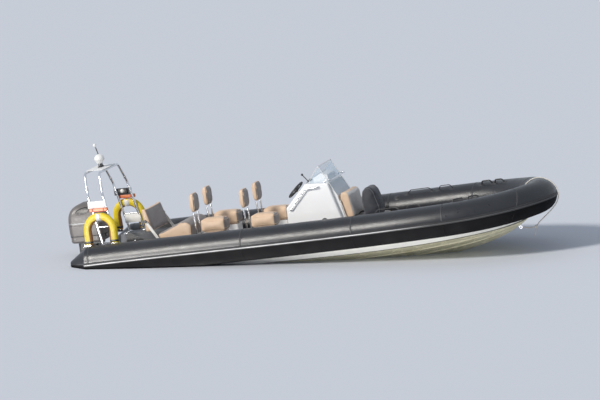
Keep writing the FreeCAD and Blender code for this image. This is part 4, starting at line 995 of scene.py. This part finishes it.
def bench():
    """The aft bench's cushion and back."""
    # painted shade and shadow: the seat's top and forward faces take the shaded copy of the beige, for the
    # back's shadow and the shade
    piece = padded_piece("bench_seat_pad", "bench_cushion", 0.012, 0.014, 0.018, ["beige", "shaded_beige"],
                         lambda n, c: abs(n.y) < 0.6 and (n.z > 0.35 or n.x > 0.5))
    side = [(-2.872, 0.47), (-2.872, 0.535), (-2.78, 0.555), (-2.41, 0.715), (-2.29, 0.718), (-2.225, 0.655),
            (-2.235, 0.47)]
    piping("bench_seat_piping", piece, side_runs(side, (-0.435, 0.435)), 0.004)
    # painted shade: the back's forward face takes the shaded copy of the beige
    piece = padded_piece("bench_back_pad", "bench_back", 0.010, 0.012, 0.016, ["beige", "shaded_beige"],
                         lambda n, c: n.x > 0.5)
    half = 0.418
    #  columns: x and z of the lower end, x and z of the upper end
    edges = [(-2.93, 0.60, -3.03, 0.985), (-3.075, 0.60, -3.11, 0.985)]
    runs = []
    for x0, z0, x1, z1 in edges:
        runs.append(dense([(x0, -half, z0), (x0, half, z0), (x1, half, z1), (x1, -half, z1)]))
    piping("bench_back_piping", piece, runs, 0.004)


bench()


def front_seat():
    """The seat ahead of the console, with its cushion and its back."""
    # painted shade: the cushion's top and forward faces take the shaded copy of the beige
    piece = padded_piece("front_seat_pad", "front_seat_cushion", 0.006, 0.012, 0.012, ["beige", "shaded_beige"],
                         lambda n, c: n.z > 0.6 or n.x > 0.6)
    piping("front_seat_piping", piece, [dense(loop_in(2, 0.505, (0.53, -0.32), (1.11, 0.32), 0.04))], 0.0035)
    # painted shade tone: the back's forward face takes the light grey that stands for the beige in shade
    piece = padded_piece("front_back_pad", "front_seat_back", 0.008, 0.012, 0.014, ["beige", "pale"],
                         lambda n, c: n.x > 0.5)
    side = [(0.64, 0.55), (0.588, 0.935), (0.555, 0.972), (0.468, 0.972), (0.445, 0.885), (0.515, 0.55)]
    piping("front_back_piping", piece, side_runs(side, (-0.318, 0.318)), 0.0035)


front_seat()

VALISE_X, VALISE_Z, STRAP_YS = 0.945, 0.76, (-0.19, 0.04)


def valise():
    """The raft's soft bag on the front seat, with webbing round it."""
    piece = padded_piece("valise_bag", "raft_valise", 0.012, 0.012, 0.022, ["bag"],
                         pressure=5.0)
    tree = surface_of(piece.data)
    bm = bmesh.new()
    for y in STRAP_YS:
        rings = []
        for angle in range(0, 361, 5):
            turn = math.radians(angle)
            away = Vector((math.cos(turn), 0, math.sin(turn)))
            row = []
            for dy, lift in tape_section(0.022, 0.0005, 0.003):
                start = Vector((VALISE_X, y + dy, VALISE_Z))
                hit = tree.ray_cast(start + away * 0.8, -away)
                row.append(bm.verts.new((hit[0] or start) + away * lift))
            rings.append(row)
        join_rows(bm, rings)
    fitting("valise_straps", "boat", "strap", bm, crisp=False)
    side = [(0.805, 0.54), (0.792, 0.80), (0.815, 0.93), (0.88, 1.0), (0.95, 1.0), (1.01, 0.92),
            (1.085, 0.66), (1.085, 0.54)]
    piping("valise_piping", piece, side_runs(side, (-0.235, 0.085)), 0.004, "tread")


valise()


# Motor details

COWL_MIDDLE = (-4.2475, 0.0)
INTAKE_AT, INTAKE_HALF, INTAKE_HIGH = Vector((-4.24, 0.0, 1.03)), 0.14, 0.05
PROP_AXIS_Z = -0.655


def put_intake(dark, rims, cowl, side):
    """Adds one of the cover's intakes: a dark oval pad, the shade inside the recessed intake painted as black
    plastic, with its rim and three slats.
    """
    start, towards = INTAKE_AT + Vector((0, side, 0)), (0, -side, 0)
    u, v = Vector((0.98, 0, 0.20)), Vector((-0.20, 0, 0.98))
    put_pad(dark, cowl, start, u, v, INTAKE_HALF, INTAKE_HIGH, towards, 0.0015)
    rings = [oval(start, u, v, INTAKE_HALF * k, INTAKE_HIGH * k) for k in (1.0, 1.03, 1.12, 1.18)]
    over_surface(rims, cowl, rings, towards, (-0.001, 0.008, 0.008, -0.001), cap=False)
    for rise in (-0.026, 0.0, 0.026):
        reach = INTAKE_HALF * math.sqrt(1 - (rise / INTAKE_HIGH) ** 2) * 0.9
        rings = [oval(start + v * rise, u, v, reach * f, 0.005 * f) for f in (0.4, 0.8, 1.0)]
        over_surface(rims, cowl, rings, towards, (0.007, 0.007, -0.001))


def motor_details():
    """Intakes, trim lines, latches and fastenings of the motor and its bracket."""
    cowl, pan = tree_of("cowl_top"), tree_of("cowl_pan")
    dark, pale, rims = bmesh.new(), bmesh.new(), bmesh.new()
    for side in (-1, 1):
        put_intake(dark, rims, cowl, side)
        for x in (-4.45, -4.05):
            hit = pan.ray_cast(Vector((x, side, 0.545)), Vector((0, -side, 0)))
            put_bolt(pale, hit[0], (0, side, 0), 0.008)
    put_girdle(dark, cowl, COWL_MIDDLE, 0.776, 0.782, 0.0010)
    put_girdle(dark, pan, COWL_MIDDLE, 0.586, 0.5985, 0.0095)
    put_girdle(pale, cowl, COWL_MIDDLE, 0.810, 0.820, 0.0012)
    for x, turn in ((-4.545, -1), (-3.950, 1)):
        put_block(dark, (x, 0, 0.560), (0.020, 0.085, 0.052), 0.006)
        put_block(pale, (x + 0.011 * turn, 0, 0.556), (0.006, 0.050, 0.030))
    for k in range(5):
        put_block(dark, (-4.544, 0, 0.700 + 0.018 * k), (0.022, 0.20, 0.007))
    for side in (-1, 1):
        put_block(dark, (-4.215, side * 0.049, -0.560), (0.090, 0.008, 0.050), 0.003)
        for k in range(5):
            put_block(pale, (-4.245 + 0.015 * k, side * 0.053, -0.560), (0.004, 0.004, 0.042), 0.001)
    fitting("motor_dark_parts", "outboard", "black", dark, crisp=False)
    fitting("motor_bright_parts", "outboard", "zinc", pale)
    fitting("motor_intake_rims", "outboard", "cowl", rims)

    bm = bmesh.new()
    nut = [(0.024, 0), (0.024, 0.012), (0.018, 0.016), (0.012, 0.032)]
    hub_ring = [(0.0575, 0), (0.0605, 0.003), (0.0605, 0.012), (0.0575, 0.015)]
    put_lathe(bm, placed((-4.503, 0, PROP_AXIS_Z), AFT), nut, 6)
    put_lathe(bm, placed((-4.488, 0, PROP_AXIS_Z), AFT), hub_ring, 40)
    fitting("propeller_nut", "propeller", "screw", bm)

    bm = bmesh.new()
    for side in (-1, 1):
        put_knob(bm, placed((-3.932, side * 0.169, 0.355), (0, side, 0)), 0.034, 0.014, 0.028, 0.018, 6)
        for z in (0.11, 0.20, 0.30):
            put_bolt(bm, (-3.868, side * 0.150, z), (0, side, 0), 0.011)
        for z in (0.20, 0.265):
            put_bolt(bm, (-3.770, side * 0.10, z), FORE, 0.012)
    fitting("bracket_fastenings", "boat", "steel", bm)
    bm = bmesh.new()
    put_block(bm, (-3.8575, 0, 0.085), (0.034, 0.150, 0.040), 0.006)
    fitting("bracket_anode", "boat", "zinc", bm)


motor_details()


# Arch details

LEG_KNEE_Z, LEG_KNEE_HALF, LEG_RAKE = 1.36, 0.625, 0.20
LEG_SPLAY, LEG_TOP_SPLAY, LEG_TOP_Z = 0.06, 0.48, 1.70
LEG_TOPS, LEG_TUBE_R = (-4.015, -3.75), 0.0213
QUARTER_TOP, ROOF_TOP, MAST_X = 0.47, 1.7293, -3.89


def arch_leg(x_top, side, z):
    """The middle of an arch leg at a height."""
    drop = LEG_KNEE_Z - z
    half = LEG_KNEE_HALF + (LEG_SPLAY if drop > 0 else LEG_TOP_SPLAY) * drop
    return Vector((x_top + LEG_RAKE * (LEG_TOP_Z - z), side * half, z))


def arch_details():
    """Clamps at the knees, bolts in the feet and on the plates, the lamp and the low panel."""
    bright, white, dark = bmesh.new(), bmesh.new(), bmesh.new()
    clamp = [(0.021, -0.002), (0.0265, 0), (0.0265, 0.042), (0.021, 0.044)]
    for x_top in LEG_TOPS:
        for side in (-1, 1):
            low, high = arch_leg(x_top, side, 1.42), arch_leg(x_top, side, 1.48)
            put_lathe(bright, placed(low, high - low), clamp, 28)
            foot = arch_leg(x_top, side, QUARTER_TOP + 0.010)
            for k in range(4):
                turn = math.radians(45 + 90 * k)
                put_bolt(bright, foot + Vector((math.cos(turn), math.sin(turn), 0)) * 0.034, UP, 0.005)
            put_knob(bright, placed(foot, (-LEG_RAKE, -side * LEG_SPLAY, 1)), 0.030, 0.004, 0.022, 0.016, 28)
    for x in (-4.02, -3.745):
        for y in (-0.28, 0.28):
            put_bolt(bright, (x, y, ROOF_TOP), UP, 0.007)
    wall = LEG_TUBE_R / math.cos(math.atan(LEG_SPLAY)) + 0.006
    for side in (-1, 1):
        for x in (-3.94, -3.655):
            for z in (1.145, 1.215):
                y = LEG_KNEE_HALF + LEG_SPLAY * (LEG_KNEE_Z - z) + wall
                put_bolt(bright, (x, side * y, z), (0, side, 0), 0.006)
    # lamp between the port legs
    y = LEG_KNEE_HALF + LEG_SPLAY * (LEG_KNEE_Z - 1.18) + LEG_TUBE_R
    put_block(dark, (-3.800, y - 0.012, 1.185), (0.17, 0.028, 0.085), 0.008)
    lens = [(0.034, 0), (0.034, 0.008), (0.024, 0.018), (0.008, 0.022)]
    put_lathe(white, placed((-3.800, y - 0.024, 1.195), STARBOARD), lens, 28)
    # low panel between the port legs
    put_block(white, (-3.680, 0.6435, 0.705), (0.290, 0.006, 0.150))
    for x in (-3.81, -3.55):
        put_bolt(bright, (x, 0.6405, 0.765), STARBOARD, 0.006)
    # gland of the mast's wire, the mast's foot and a ring round the dome
    put_knob(dark, placed((MAST_X, 0.075, ROOF_TOP)), 0.013, 0.012, 0.006, 0.020, 18)
    put_knob(dark, placed((MAST_X, 0, ROOF_TOP)), 0.046, 0.008, 0.036, 0.014, 28)
    dome_ring = [(0.0895, 0), (0.0915, 0.002), (0.0915, 0.008), (0.0895, 0.010)]
    put_lathe(white, placed((MAST_X, 0, 1.862)), dome_ring, 48)
    fitting("arch_fastenings", "boat", "steel", bright)
    fitting("arch_white_parts", "boat", "plastic", white)
    fitting("arch_dark_parts", "boat", "black", dark)


arch_details()

BUOY_X, BUOY_FOOT_Z, ARCH_FOOT_Y = -3.762, 0.483145, 0.727941
BUOY_HALF, BUOY_BAND, BUOY_BEND, BUOY_THICK = 0.320, 0.145, 0.255, 0.105
BUOY_MIDDLE = BUOY_HALF - BUOY_BAND / 2
LIGHT_PACK_TOP = 1.122014

#  columns: last word of the name, finish, its bands as places along the buoy and half widths
BUOY_TAPES = [("tape", "reflector", [(0.0, 0.045)]), ("straps", "black", [(-0.86, 0.018), (0.86, 0.018)])]


def leg_frame(side, x, y, z):
    """A frame that leans with the arch legs of one side, at a place given in that leaning frame."""
    lean = Matrix.Rotation(-math.atan(LEG_SPLAY), 4, "X") @ Matrix.Translation((x, y, z))
    return Matrix.Scale(-side, 4, PORT) @ Matrix.Translation((0, -ARCH_FOOT_Y, 0)) @ lean


def buoy_spot(along):
    """A place on the middle of the buoy and the way out of it, along from -1 to 1 over the top."""
    if abs(along) > 0.5:
        side = math.copysign(1, along)
        return Vector((side * BUOY_MIDDLE, 0, BUOY_BEND * (1 - (abs(along) - 0.5) * 2))), Vector((side, 0, 0))
    turn = math.radians(90 - 180 * along)
    out = Vector((math.cos(turn), 0, math.sin(turn)))
    return Vector((0, 0, BUOY_BEND)) + out * BUOY_MIDDLE, out


def put_buoy_band(bm, tree, to_world, along, half):
    """Adds a thin band round the starboard buoy's cover."""
    middle, out = buoy_spot(along)
    way = out.cross(Vector(PORT))
    core = middle + Vector((0, -BUOY_THICK / 2, 0))
    rings = []
    for k in range(49):
        turn = 2 * math.pi * k / 48
        ray = (to_world.to_3x3() @ (out * math.cos(turn) + Vector(PORT) * math.sin(turn))).normalized()
        row = []
        for slide, lift in tape_section(half, -0.0005, 0.002):
            at = to_world @ (core + way * slide)
            hit = tree.ray_cast(at, ray)
            row.append(bm.verts.new((hit[0] or at + ray * 0.05) + ray * lift))
        rings.append(row)
    join_rows(bm, rings)


def buoys():
    """The two horseshoe buoys as swollen covers with a brown inner edge, tapes and straps."""
    to_world = leg_frame(-1, BUOY_X, 0, BUOY_FOOT_Z)
    to_own = to_world.inverted()
    mesh = solid_copy("buoy", "horseshoe_buoys", lambda p: p.y < 0)
    shrunk(mesh, 0.008)
    mesh = puffed(mesh, 0.011, 0.012)

    def on_inner_edge(n, c):
        own = to_own @ c
        away = abs(own.x) if own.z < BUOY_BEND else math.hypot(own.x, own.z - BUOY_BEND)
        return away < BUOY_HALF - BUOY_BAND + 0.024

    for name, side in (("starboard", -1), ("port", 1)):
        piece = add("buoy_" + name, "boat", ["buoy", "buoy_edge"], mesh.copy())
        settled(piece)
        two_tone(piece.data, on_inner_edge)
        tree = surface_of(piece.data)
        parts = [piece]
        for kind, finish, bands in BUOY_TAPES:
            bm = bmesh.new()
            for along, half in bands:
                put_buoy_band(bm, tree, to_world, along, half)
            parts.append(gathered("buoy_%s_%s" % (name, kind), "boat", finish, bm))
        for part in parts:
            if side > 0:
                part.data.transform(Matrix.Scale(-1, 4, PORT))
                part.data.flip_normals()
        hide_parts("horseshoe_buoys")
    bm = bmesh.new()
    for side in (-1, 1):
        for end in (-1, 1):
            at = leg_frame(side, BUOY_X + end * BUOY_MIDDLE, -BUOY_THICK / 2, BUOY_FOOT_Z - 0.006)
            put_block(bm, at, (0.150, 0.112, 0.006))
            for lip in (-1, 1):
                put_block(bm, at @ Matrix.Translation((0, lip * 0.054, 0.020)), (0.120, 0.004, 0.046), 0.0015)
    fitting("buoy_trays", "boat", "steel", bm)
    bm = bmesh.new()
    for side in (-1, 1):
        base = leg_frame(side, BUOY_X, -0.030, LIGHT_PACK_TOP - 0.0533)
        put_block(bm, base, (0.322, 0.0625, 0.010))
        for x in (-0.10, 0.10):
            put_block(bm, base @ Matrix.Translation((x, 0, 0.026)), (0.020, 0.0635, 0.060))
    fitting("light_pack_straps", "boat", "red", bm)


buoys()


# Console details

DASH_FOOT, DASH_TOP = Vector((-0.5, 0.0, 0.8)), Vector((-0.115, 0.0, 1.185))
DASH_OUT = Vector((-1, 0, 1)).normalized()
POD_FACE, POD_UP = Vector((-0.472, 0, 0.882)).normalized(), Vector((0.882, 0, 0.472))
WHEEL_ALONG, WHEEL_Y = 0.275, -0.15

#  columns: place along the dash, place across the boat, radius
DIALS = [(0.475, -0.255, 0.036), (0.485, -0.150, 0.045), (0.475, -0.045, 0.036), (0.40, -0.335, 0.028)]

#  places of the windscreen's lower and upper edge and its wing's corner, as x and z
SCREEN_LOW, SCREEN_HIGH, SCREEN_WING = (0.424, 0.930), (0.139, 1.460), (-0.040, 1.228)
SCREEN_HALF, WING_FOOT_Z = 0.360, 1.183


def on_dash(along, y, lift=0.0):
    """A frame on the sloping dash; its X axis runs to port and its Z axis out of the dash."""
    at = DASH_FOOT + (DASH_TOP - DASH_FOOT).normalized() * along + Vector((0, y, 0)) + DASH_OUT * lift
    return placed(at, DASH_OUT, PORT)


def put_dial(bright, screens, white, at, radius):
    """Adds a round dial: its rim, its face, eleven marks and a needle."""
    rim = [(radius, 0), (radius, 0.010), (radius * 0.90, 0.012), (radius * 0.90, 0.006)]
    put_lathe(bright, at, rim, 36)
    put_lathe(screens, at, [(radius * 0.89, 0.0), (radius * 0.89, 0.0085)], 36)
    for k in range(11):
        turn = math.radians(-130 + 26 * k)
        spot = Matrix.Translation((math.sin(turn) * radius * 0.72, math.cos(turn) * radius * 0.72, 0.0088))
        put_block(white, at @ spot @ Matrix.Rotation(-turn, 4, "Z"), (0.0016, radius * 0.16, 0.001), 0)
    needle = at @ Matrix.Rotation(math.radians(50), 4, "Z") @ Matrix.Translation((0, radius * 0.26, 0.0092))
    put_block(white, needle, (0.0020, radius * 0.62, 0.001), 0)


def put_displays(screens, dark, bright):
    """Adds the two displays of the pod, each with four keys beside it."""
    for y in (0.045, 0.228):
        at = Vector((-0.0111, y, 1.2589))
        put_block(dark, placed(at + POD_FACE * 0.002, POD_FACE, PORT), (0.168, 0.122, 0.010), 0.003)
        put_block(screens, placed(at + POD_FACE * 0.0055, POD_FACE, PORT), (0.138, 0.090, 0.006), 0.001)
        for k in range(4):
            key = Vector((0, 0.0765, 0)) + POD_UP * (-0.036 + 0.024 * k)
            put_bolt(bright, at + POD_FACE * 0.007 + key, POD_FACE, 0.004)


def put_switches(dark, white, bright):
    """Adds the switch panel, the key, a small panel, a socket and the boss round the wheel's shaft."""
    put_block(dark, on_dash(0.29, 0.325, 0.003), (0.135, 0.190, 0.008), 0.003)
    tilt = Matrix.Rotation(math.radians(7), 4, "X")
    for row in range(4):
        for column in range(2):
            at = on_dash(0.225 + 0.043 * row, 0.298 + 0.054 * column, 0.010) @ tilt
            put_block(white if (row + column) % 3 == 0 else dark, at, (0.034, 0.022, 0.010), 0.003)
    put_knob(bright, on_dash(0.13, 0.20), 0.016, 0.006, 0.009, 0.010, 24)
    put_block(dark, on_dash(0.12, 0.08, 0.002), (0.10, 0.055, 0.008), 0.003)
    put_lathe(dark, on_dash(0.12, -0.30), [(0.030, 0), (0.030, 0.005), (0.022, 0.008), (0.010, 0.004)], 30)
    boss = [(0.052, 0), (0.050, 0.010), (0.036, 0.030), (0.0315, 0.032)]
    put_lathe(dark, on_dash(WHEEL_ALONG, WHEEL_Y), boss, 36)


def put_doors(dark, white, bright):
    """Adds the aft door with its latch and hinges, a round vent in each side and the front face's trims."""
    put_block(white, (-0.503, 0.05, 0.46), (0.012, 0.46, 0.46), 0.005, 3)
    put_block(dark, (-0.511, 0.235, 0.50), (0.012, 0.026, 0.070), 0.005)
    for z in (0.33, 0.60):
        put_lathe(bright, placed((-0.511, -0.172, z - 0.025)), [(0.006, 0), (0.006, 0.050)], 14)
    vent = [(0.062, 0), (0.062, 0.004), (0.052, 0.007), (0.048, 0.004)]
    for side in (-1, 1):
        put_lathe(dark, placed((0.16, side * 0.4195, 0.52), (0, side, 0)), vent, 40)
        for k in range(5):
            put_block(dark, (0.16, side * 0.4225, 0.486 + 0.017 * k), (0.088, 0.004, 0.006), 0.001)
    for side in (-1, 1):
        at = placed((0.508, side * 0.336, 0.60), (0.97, 0, 0.23), PORT)
        put_block(white, at, (0.020, 0.52, 0.010), 0.004)


def console_details():
    """Displays, dials, switches, doors and trims of the console."""
    screens, dark, white, bright = bmesh.new(), bmesh.new(), bmesh.new(), bmesh.new()
    put_displays(screens, dark, bright)
    for along, y, radius in DIALS:
        put_dial(bright, screens, white, on_dash(along, y), radius)
    put_switches(dark, white, bright)
    put_doors(dark, white, bright)
    fitting("console_displays", "boat", "display", screens)
    fitting("console_dark_parts", "boat", "black", dark)
    fitting("console_white_parts", "boat", "white", white)
    fitting("console_bright_parts", "boat", "steel", bright)


def windscreen_details():
    """Trims along the windscreen's edges and the screws in its foot."""
    (low_x, low_z), (high_x, high_z), (wing_x, wing_z) = SCREEN_LOW, SCREEN_HIGH, SCREEN_WING
    runs = [[(high_x, -SCREEN_HALF + 0.08 * k, high_z) for k in range(10)]]
    for y in (-SCREEN_HALF, SCREEN_HALF):
        runs.append([(low_x, y, low_z), (high_x, y, high_z)])
        runs.append([(high_x, y, high_z), (wing_x, y, wing_z)])
        runs.append([(wing_x, y, wing_z), (wing_x, y, WING_FOOT_Z)])
    curve_piece("windscreen_edges", "boat", "plastic", runs, 0.0045)
    bm = bmesh.new()
    for y in (-0.30, 0.30):
        for share in (0.10, 0.42):
            at = Vector((low_x, y, low_z)).lerp(Vector((high_x, y, high_z)), share)
            put_bolt(bm, at, (0.88, 0, 0.47), 0.010)
    fitting("windscreen_screws", "boat", "steel", bm, crisp=False)


def wheel_details():
    """The cap on the wheel's hub."""
    bm = bmesh.new()
    cap = [(0.034, 0.0), (0.034, 0.004), (0.026, 0.010), (0.010, 0.013)]
    put_lathe(bm, on_dash(WHEEL_ALONG, WHEEL_Y, 0.098), cap, 32)
    fitting("wheel_hub_cap", "wheel", "black", bm, crisp=False)


console_details()
windscreen_details()
wheel_details()


# Deck and collar fittings

DECK_TOP, TRANSOM_X = 0.158, -3.8395

#  columns: x aft, x fore, y inboard, y outboard, on each side
SIDE_MATS = [(-2.10, -1.62, 0.53, 0.72), (-1.50, -0.62, 0.53, 0.72), (-0.50, 0.55, 0.49, 0.74),
             (0.62, 1.14, 0.37, 0.74)]

#  columns: x and z of the bolts through the quarter plates
GUSSET_BOLTS = [(-3.27, 0.505), (-3.27, 0.66), (-3.14, 0.530), (-2.97, 0.497)]
GUSSET_OUTSIDE, GUSSET_INSIDE = 0.7795, 0.7685


def put_mat(bm, x0, x1, y0, y1):
    """Adds a tread mat on the deck between two places along the boat and two across it."""
    put_block(bm, ((x0 + x1) / 2, (y0 + y1) / 2, DECK_TOP + 0.0015), (x1 - x0, y1 - y0, 0.004), 0.0015)


def put_mats(bm):
    """Adds all the tread mats."""
    put_mat(bm, -2.10, -0.62, -0.160, 0.160)
    for x0, x1, y0, y1 in SIDE_MATS:
        put_mat(bm, x0, x1, -y1, -y0)
        put_mat(bm, x0, x1, y0, y1)
    put_mat(bm, 1.20, 1.72, -0.56, 0.56)
    put_mat(bm, 1.78, 2.24, -0.50, 0.50)


def put_hatch_and_drains(white, bright, dark):
    """Adds the deck's hatch with its screws and lock, and two drains aft."""
    put_block(white, (-1.02, 0, DECK_TOP + 0.005), (0.42, 0.26, 0.008), 0.003)
    for x in (-1.20, -0.84):
        for y in (-0.10, 0.10):
            put_bolt(bright, (x, y, DECK_TOP + 0.009), UP, 0.005)
    put_knob(bright, placed((-1.02, 0, DECK_TOP + 0.009)), 0.026, 0.002, 0.018, 0.003, 28)
    for y in (-0.62, 0.62):
        put_knob(dark, placed((-2.55, y, DECK_TOP)), 0.040, 0.003, 0.032, 0.004, 30)


def put_pod_trims(dark, bright):
    """Adds a trim round each seat pod's foot, and a door with its catch in its aft face."""
    for x in SEAT_ROWS:
        for y in (-SEAT_Y, SEAT_Y):
            x0, x1 = x + SEAT_START + 0.03, x + SEAT_START + SEAT_LENGTH - 0.03
            put_block(dark, ((x0 + x1) / 2, y, DECK_TOP + 0.010), (x1 - x0 + 0.012, 0.262, 0.022), 0.005)
            put_block(dark, (x0 - 0.002, y, 0.36), (0.008, 0.11, 0.16), 0.003)
            put_bolt(bright, (x0 - 0.006, y, 0.40), AFT, 0.010)


def put_bench_fittings(dark, bright):
    """Adds the bench's lid line and latch, the knobs of its arms and the quarter plates' bolts."""
    put_block(dark, (-2.2685, 0, 0.418), (0.004, 0.84, 0.006), 0.001)
    put_block(dark, (-2.2655, 0, 0.385), (0.010, 0.070, 0.045), 0.004)
    for side in (-1, 1):
        out = (0, side, 0)
        put_knob(dark, placed((-3.035, side * 0.470, 0.790), out), 0.026, 0.014, 0.020, 0.022, 24)
        put_knob(bright, placed((-2.800, side * 0.470, 0.400), out), 0.012, 0.006, 0.008, 0.010, 18)
        for x, z in GUSSET_BOLTS:
            put_bolt(bright, (x, side * GUSSET_OUTSIDE, z), out, 0.013)
            put_bolt(bright, (x, side * GUSSET_INSIDE, z), (0, -side, 0), 0.011)


def put_transom_fittings(dark, bright):
    """Adds the transom's drain flaps and the bolts round its well."""
    for side in (-1, 1):
        put_knob(dark, placed((TRANSOM_X, side * 0.50, -0.18), AFT), 0.045, 0.006, 0.036, 0.012, 30)
        put_knob(bright, placed((TRANSOM_X, side * 0.27, -0.02), AFT), 0.024, 0.005, 0.016, 0.010, 24)
        for z in (0.20, 0.30, 0.40):
            put_bolt(bright, (TRANSOM_X, side * 0.42, z), AFT, 0.008)


def deck_details():
    """The small fittings of the deck, the pods, the benches, the front locker and the transom."""
    mats, white, bright, dark = bmesh.new(), bmesh.new(), bmesh.new(), bmesh.new()
    put_mats(mats)
    put_hatch_and_drains(white, bright, dark)
    put_pod_trims(dark, bright)
    put_bench_fittings(dark, bright)
    # door of the front locker
    put_block(white, (1.1015, 0, 0.29), (0.008, 0.44, 0.18), 0.003)
    put_knob(bright, placed((1.105, 0.15, 0.29), FORE), 0.016, 0.004, 0.010, 0.007, 24)
    put_transom_fittings(dark, bright)
    fitting("deck_mats", "boat", "tread", mats)
    fitting("deck_white_parts", "boat", "white", white)
    fitting("deck_bright_parts", "boat", "steel", bright)
    fitting("deck_dark_parts", "boat", "black", dark)


deck_details()

HANDLE_ENDS = [1.230, 1.700, 1.800, 2.060, 2.600, 2.830, 2.870, 3.080]
VALVES = [-3.05, -0.25, 1.08]
HANDLE_CLOCK, VALVE_CLOCK = 114.0, 128.0


def collar_details():
    """Patches under the handles' ends, and inflation valves on theirs."""
    patches, valves = bmesh.new(), bmesh.new()

    def put_patch(x, side, clock, length, width, lift):
        centre, along, out, up = tube_frame(tube_index(x, side))
        at, away = on_tube(centre, along, out, up, clock)
        put_pad(patches, collar_tree, at + away * 0.3, along, away.cross(along), length, width, -away, lift)
        return at, away

    valve = [(0.030, 0), (0.030, 0.009), (0.026, 0.012), (0.010, 0.013)]
    for side in (-1, 1):
        for x in HANDLE_ENDS:
            put_patch(x, side, HANDLE_CLOCK, 0.062, 0.046, 0.003)
        for x in VALVES:
            at, away = put_patch(x, side, VALVE_CLOCK, 0.055, 0.055, 0.002)
            put_lathe(valves, placed(at - away * 0.002, away), valve, 28)
    fitting("collar_patches", "boat", "tape", patches, crisp=False)
    fitting("collar_valves", "boat", "black", valves)


collar_details()


def bow_details():
    """The latch and the tread strips of the hatch's lid."""
    lid = tree_of("hatch_lid")
    bright, dark = bmesh.new(), bmesh.new()
    at, out = lid.ray_cast(Vector((2.72, 0, 1.2)), Vector(DOWN))[:2]
    latch = [(0.034, 0), (0.034, 0.004), (0.026, 0.006), (0.022, 0.003)]
    put_lathe(bright, placed(at - out * 0.001, out), latch, 32)
    put_block(dark, placed(at + out * 0.005, out, PORT), (0.040, 0.010, 0.006))
    low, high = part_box("hatch_lid")
    for k in range(7):
        x = low[0] + (high[0] - low[0]) * (0.22 + 0.085 * k)
        for y in (-0.06, 0.06):
            at, out = lid.ray_cast(Vector((x, y, 1.2)), Vector(DOWN))[:2]
            if at:
                put_block(dark, placed(at + out * 0.0005, out, PORT), (0.095, 0.012, 0.003), 0.001)
    fitting("hatch_latch", "lid", "steel", bright)
    fitting("hatch_tread", "lid", "black", dark)


bow_details()


# Painter: the route's points are those of its solid
PAINTER_ROUTE = [
    (3.284, 0.0, 0.448), (3.370, 0.002, 0.491), (3.462, 0.006, 0.577), (3.530, 0.004, 0.700),
    (3.618, -0.003, 0.813), (3.745, -0.006, 0.888), (3.890, -0.002, 0.896), (4.030, 0.004, 0.834),
    (4.130, 0.006, 0.722), (4.164, 0.003, 0.578), (4.104, -0.002, 0.430), (3.968, -0.004, 0.306),
    (3.862, 0.0, 0.222), (3.762, 0.004, 0.146), (3.702, 0.003, 0.070), (3.672, 0.0, -0.012),
    (3.660, -0.004, -0.096),
]
ROPE_R = 0.010

painter = curve_piece("painter_rope", "boat", "rope", [PAINTER_ROUTE], ROPE_R, smooth=True, sides=4)
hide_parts("painter")
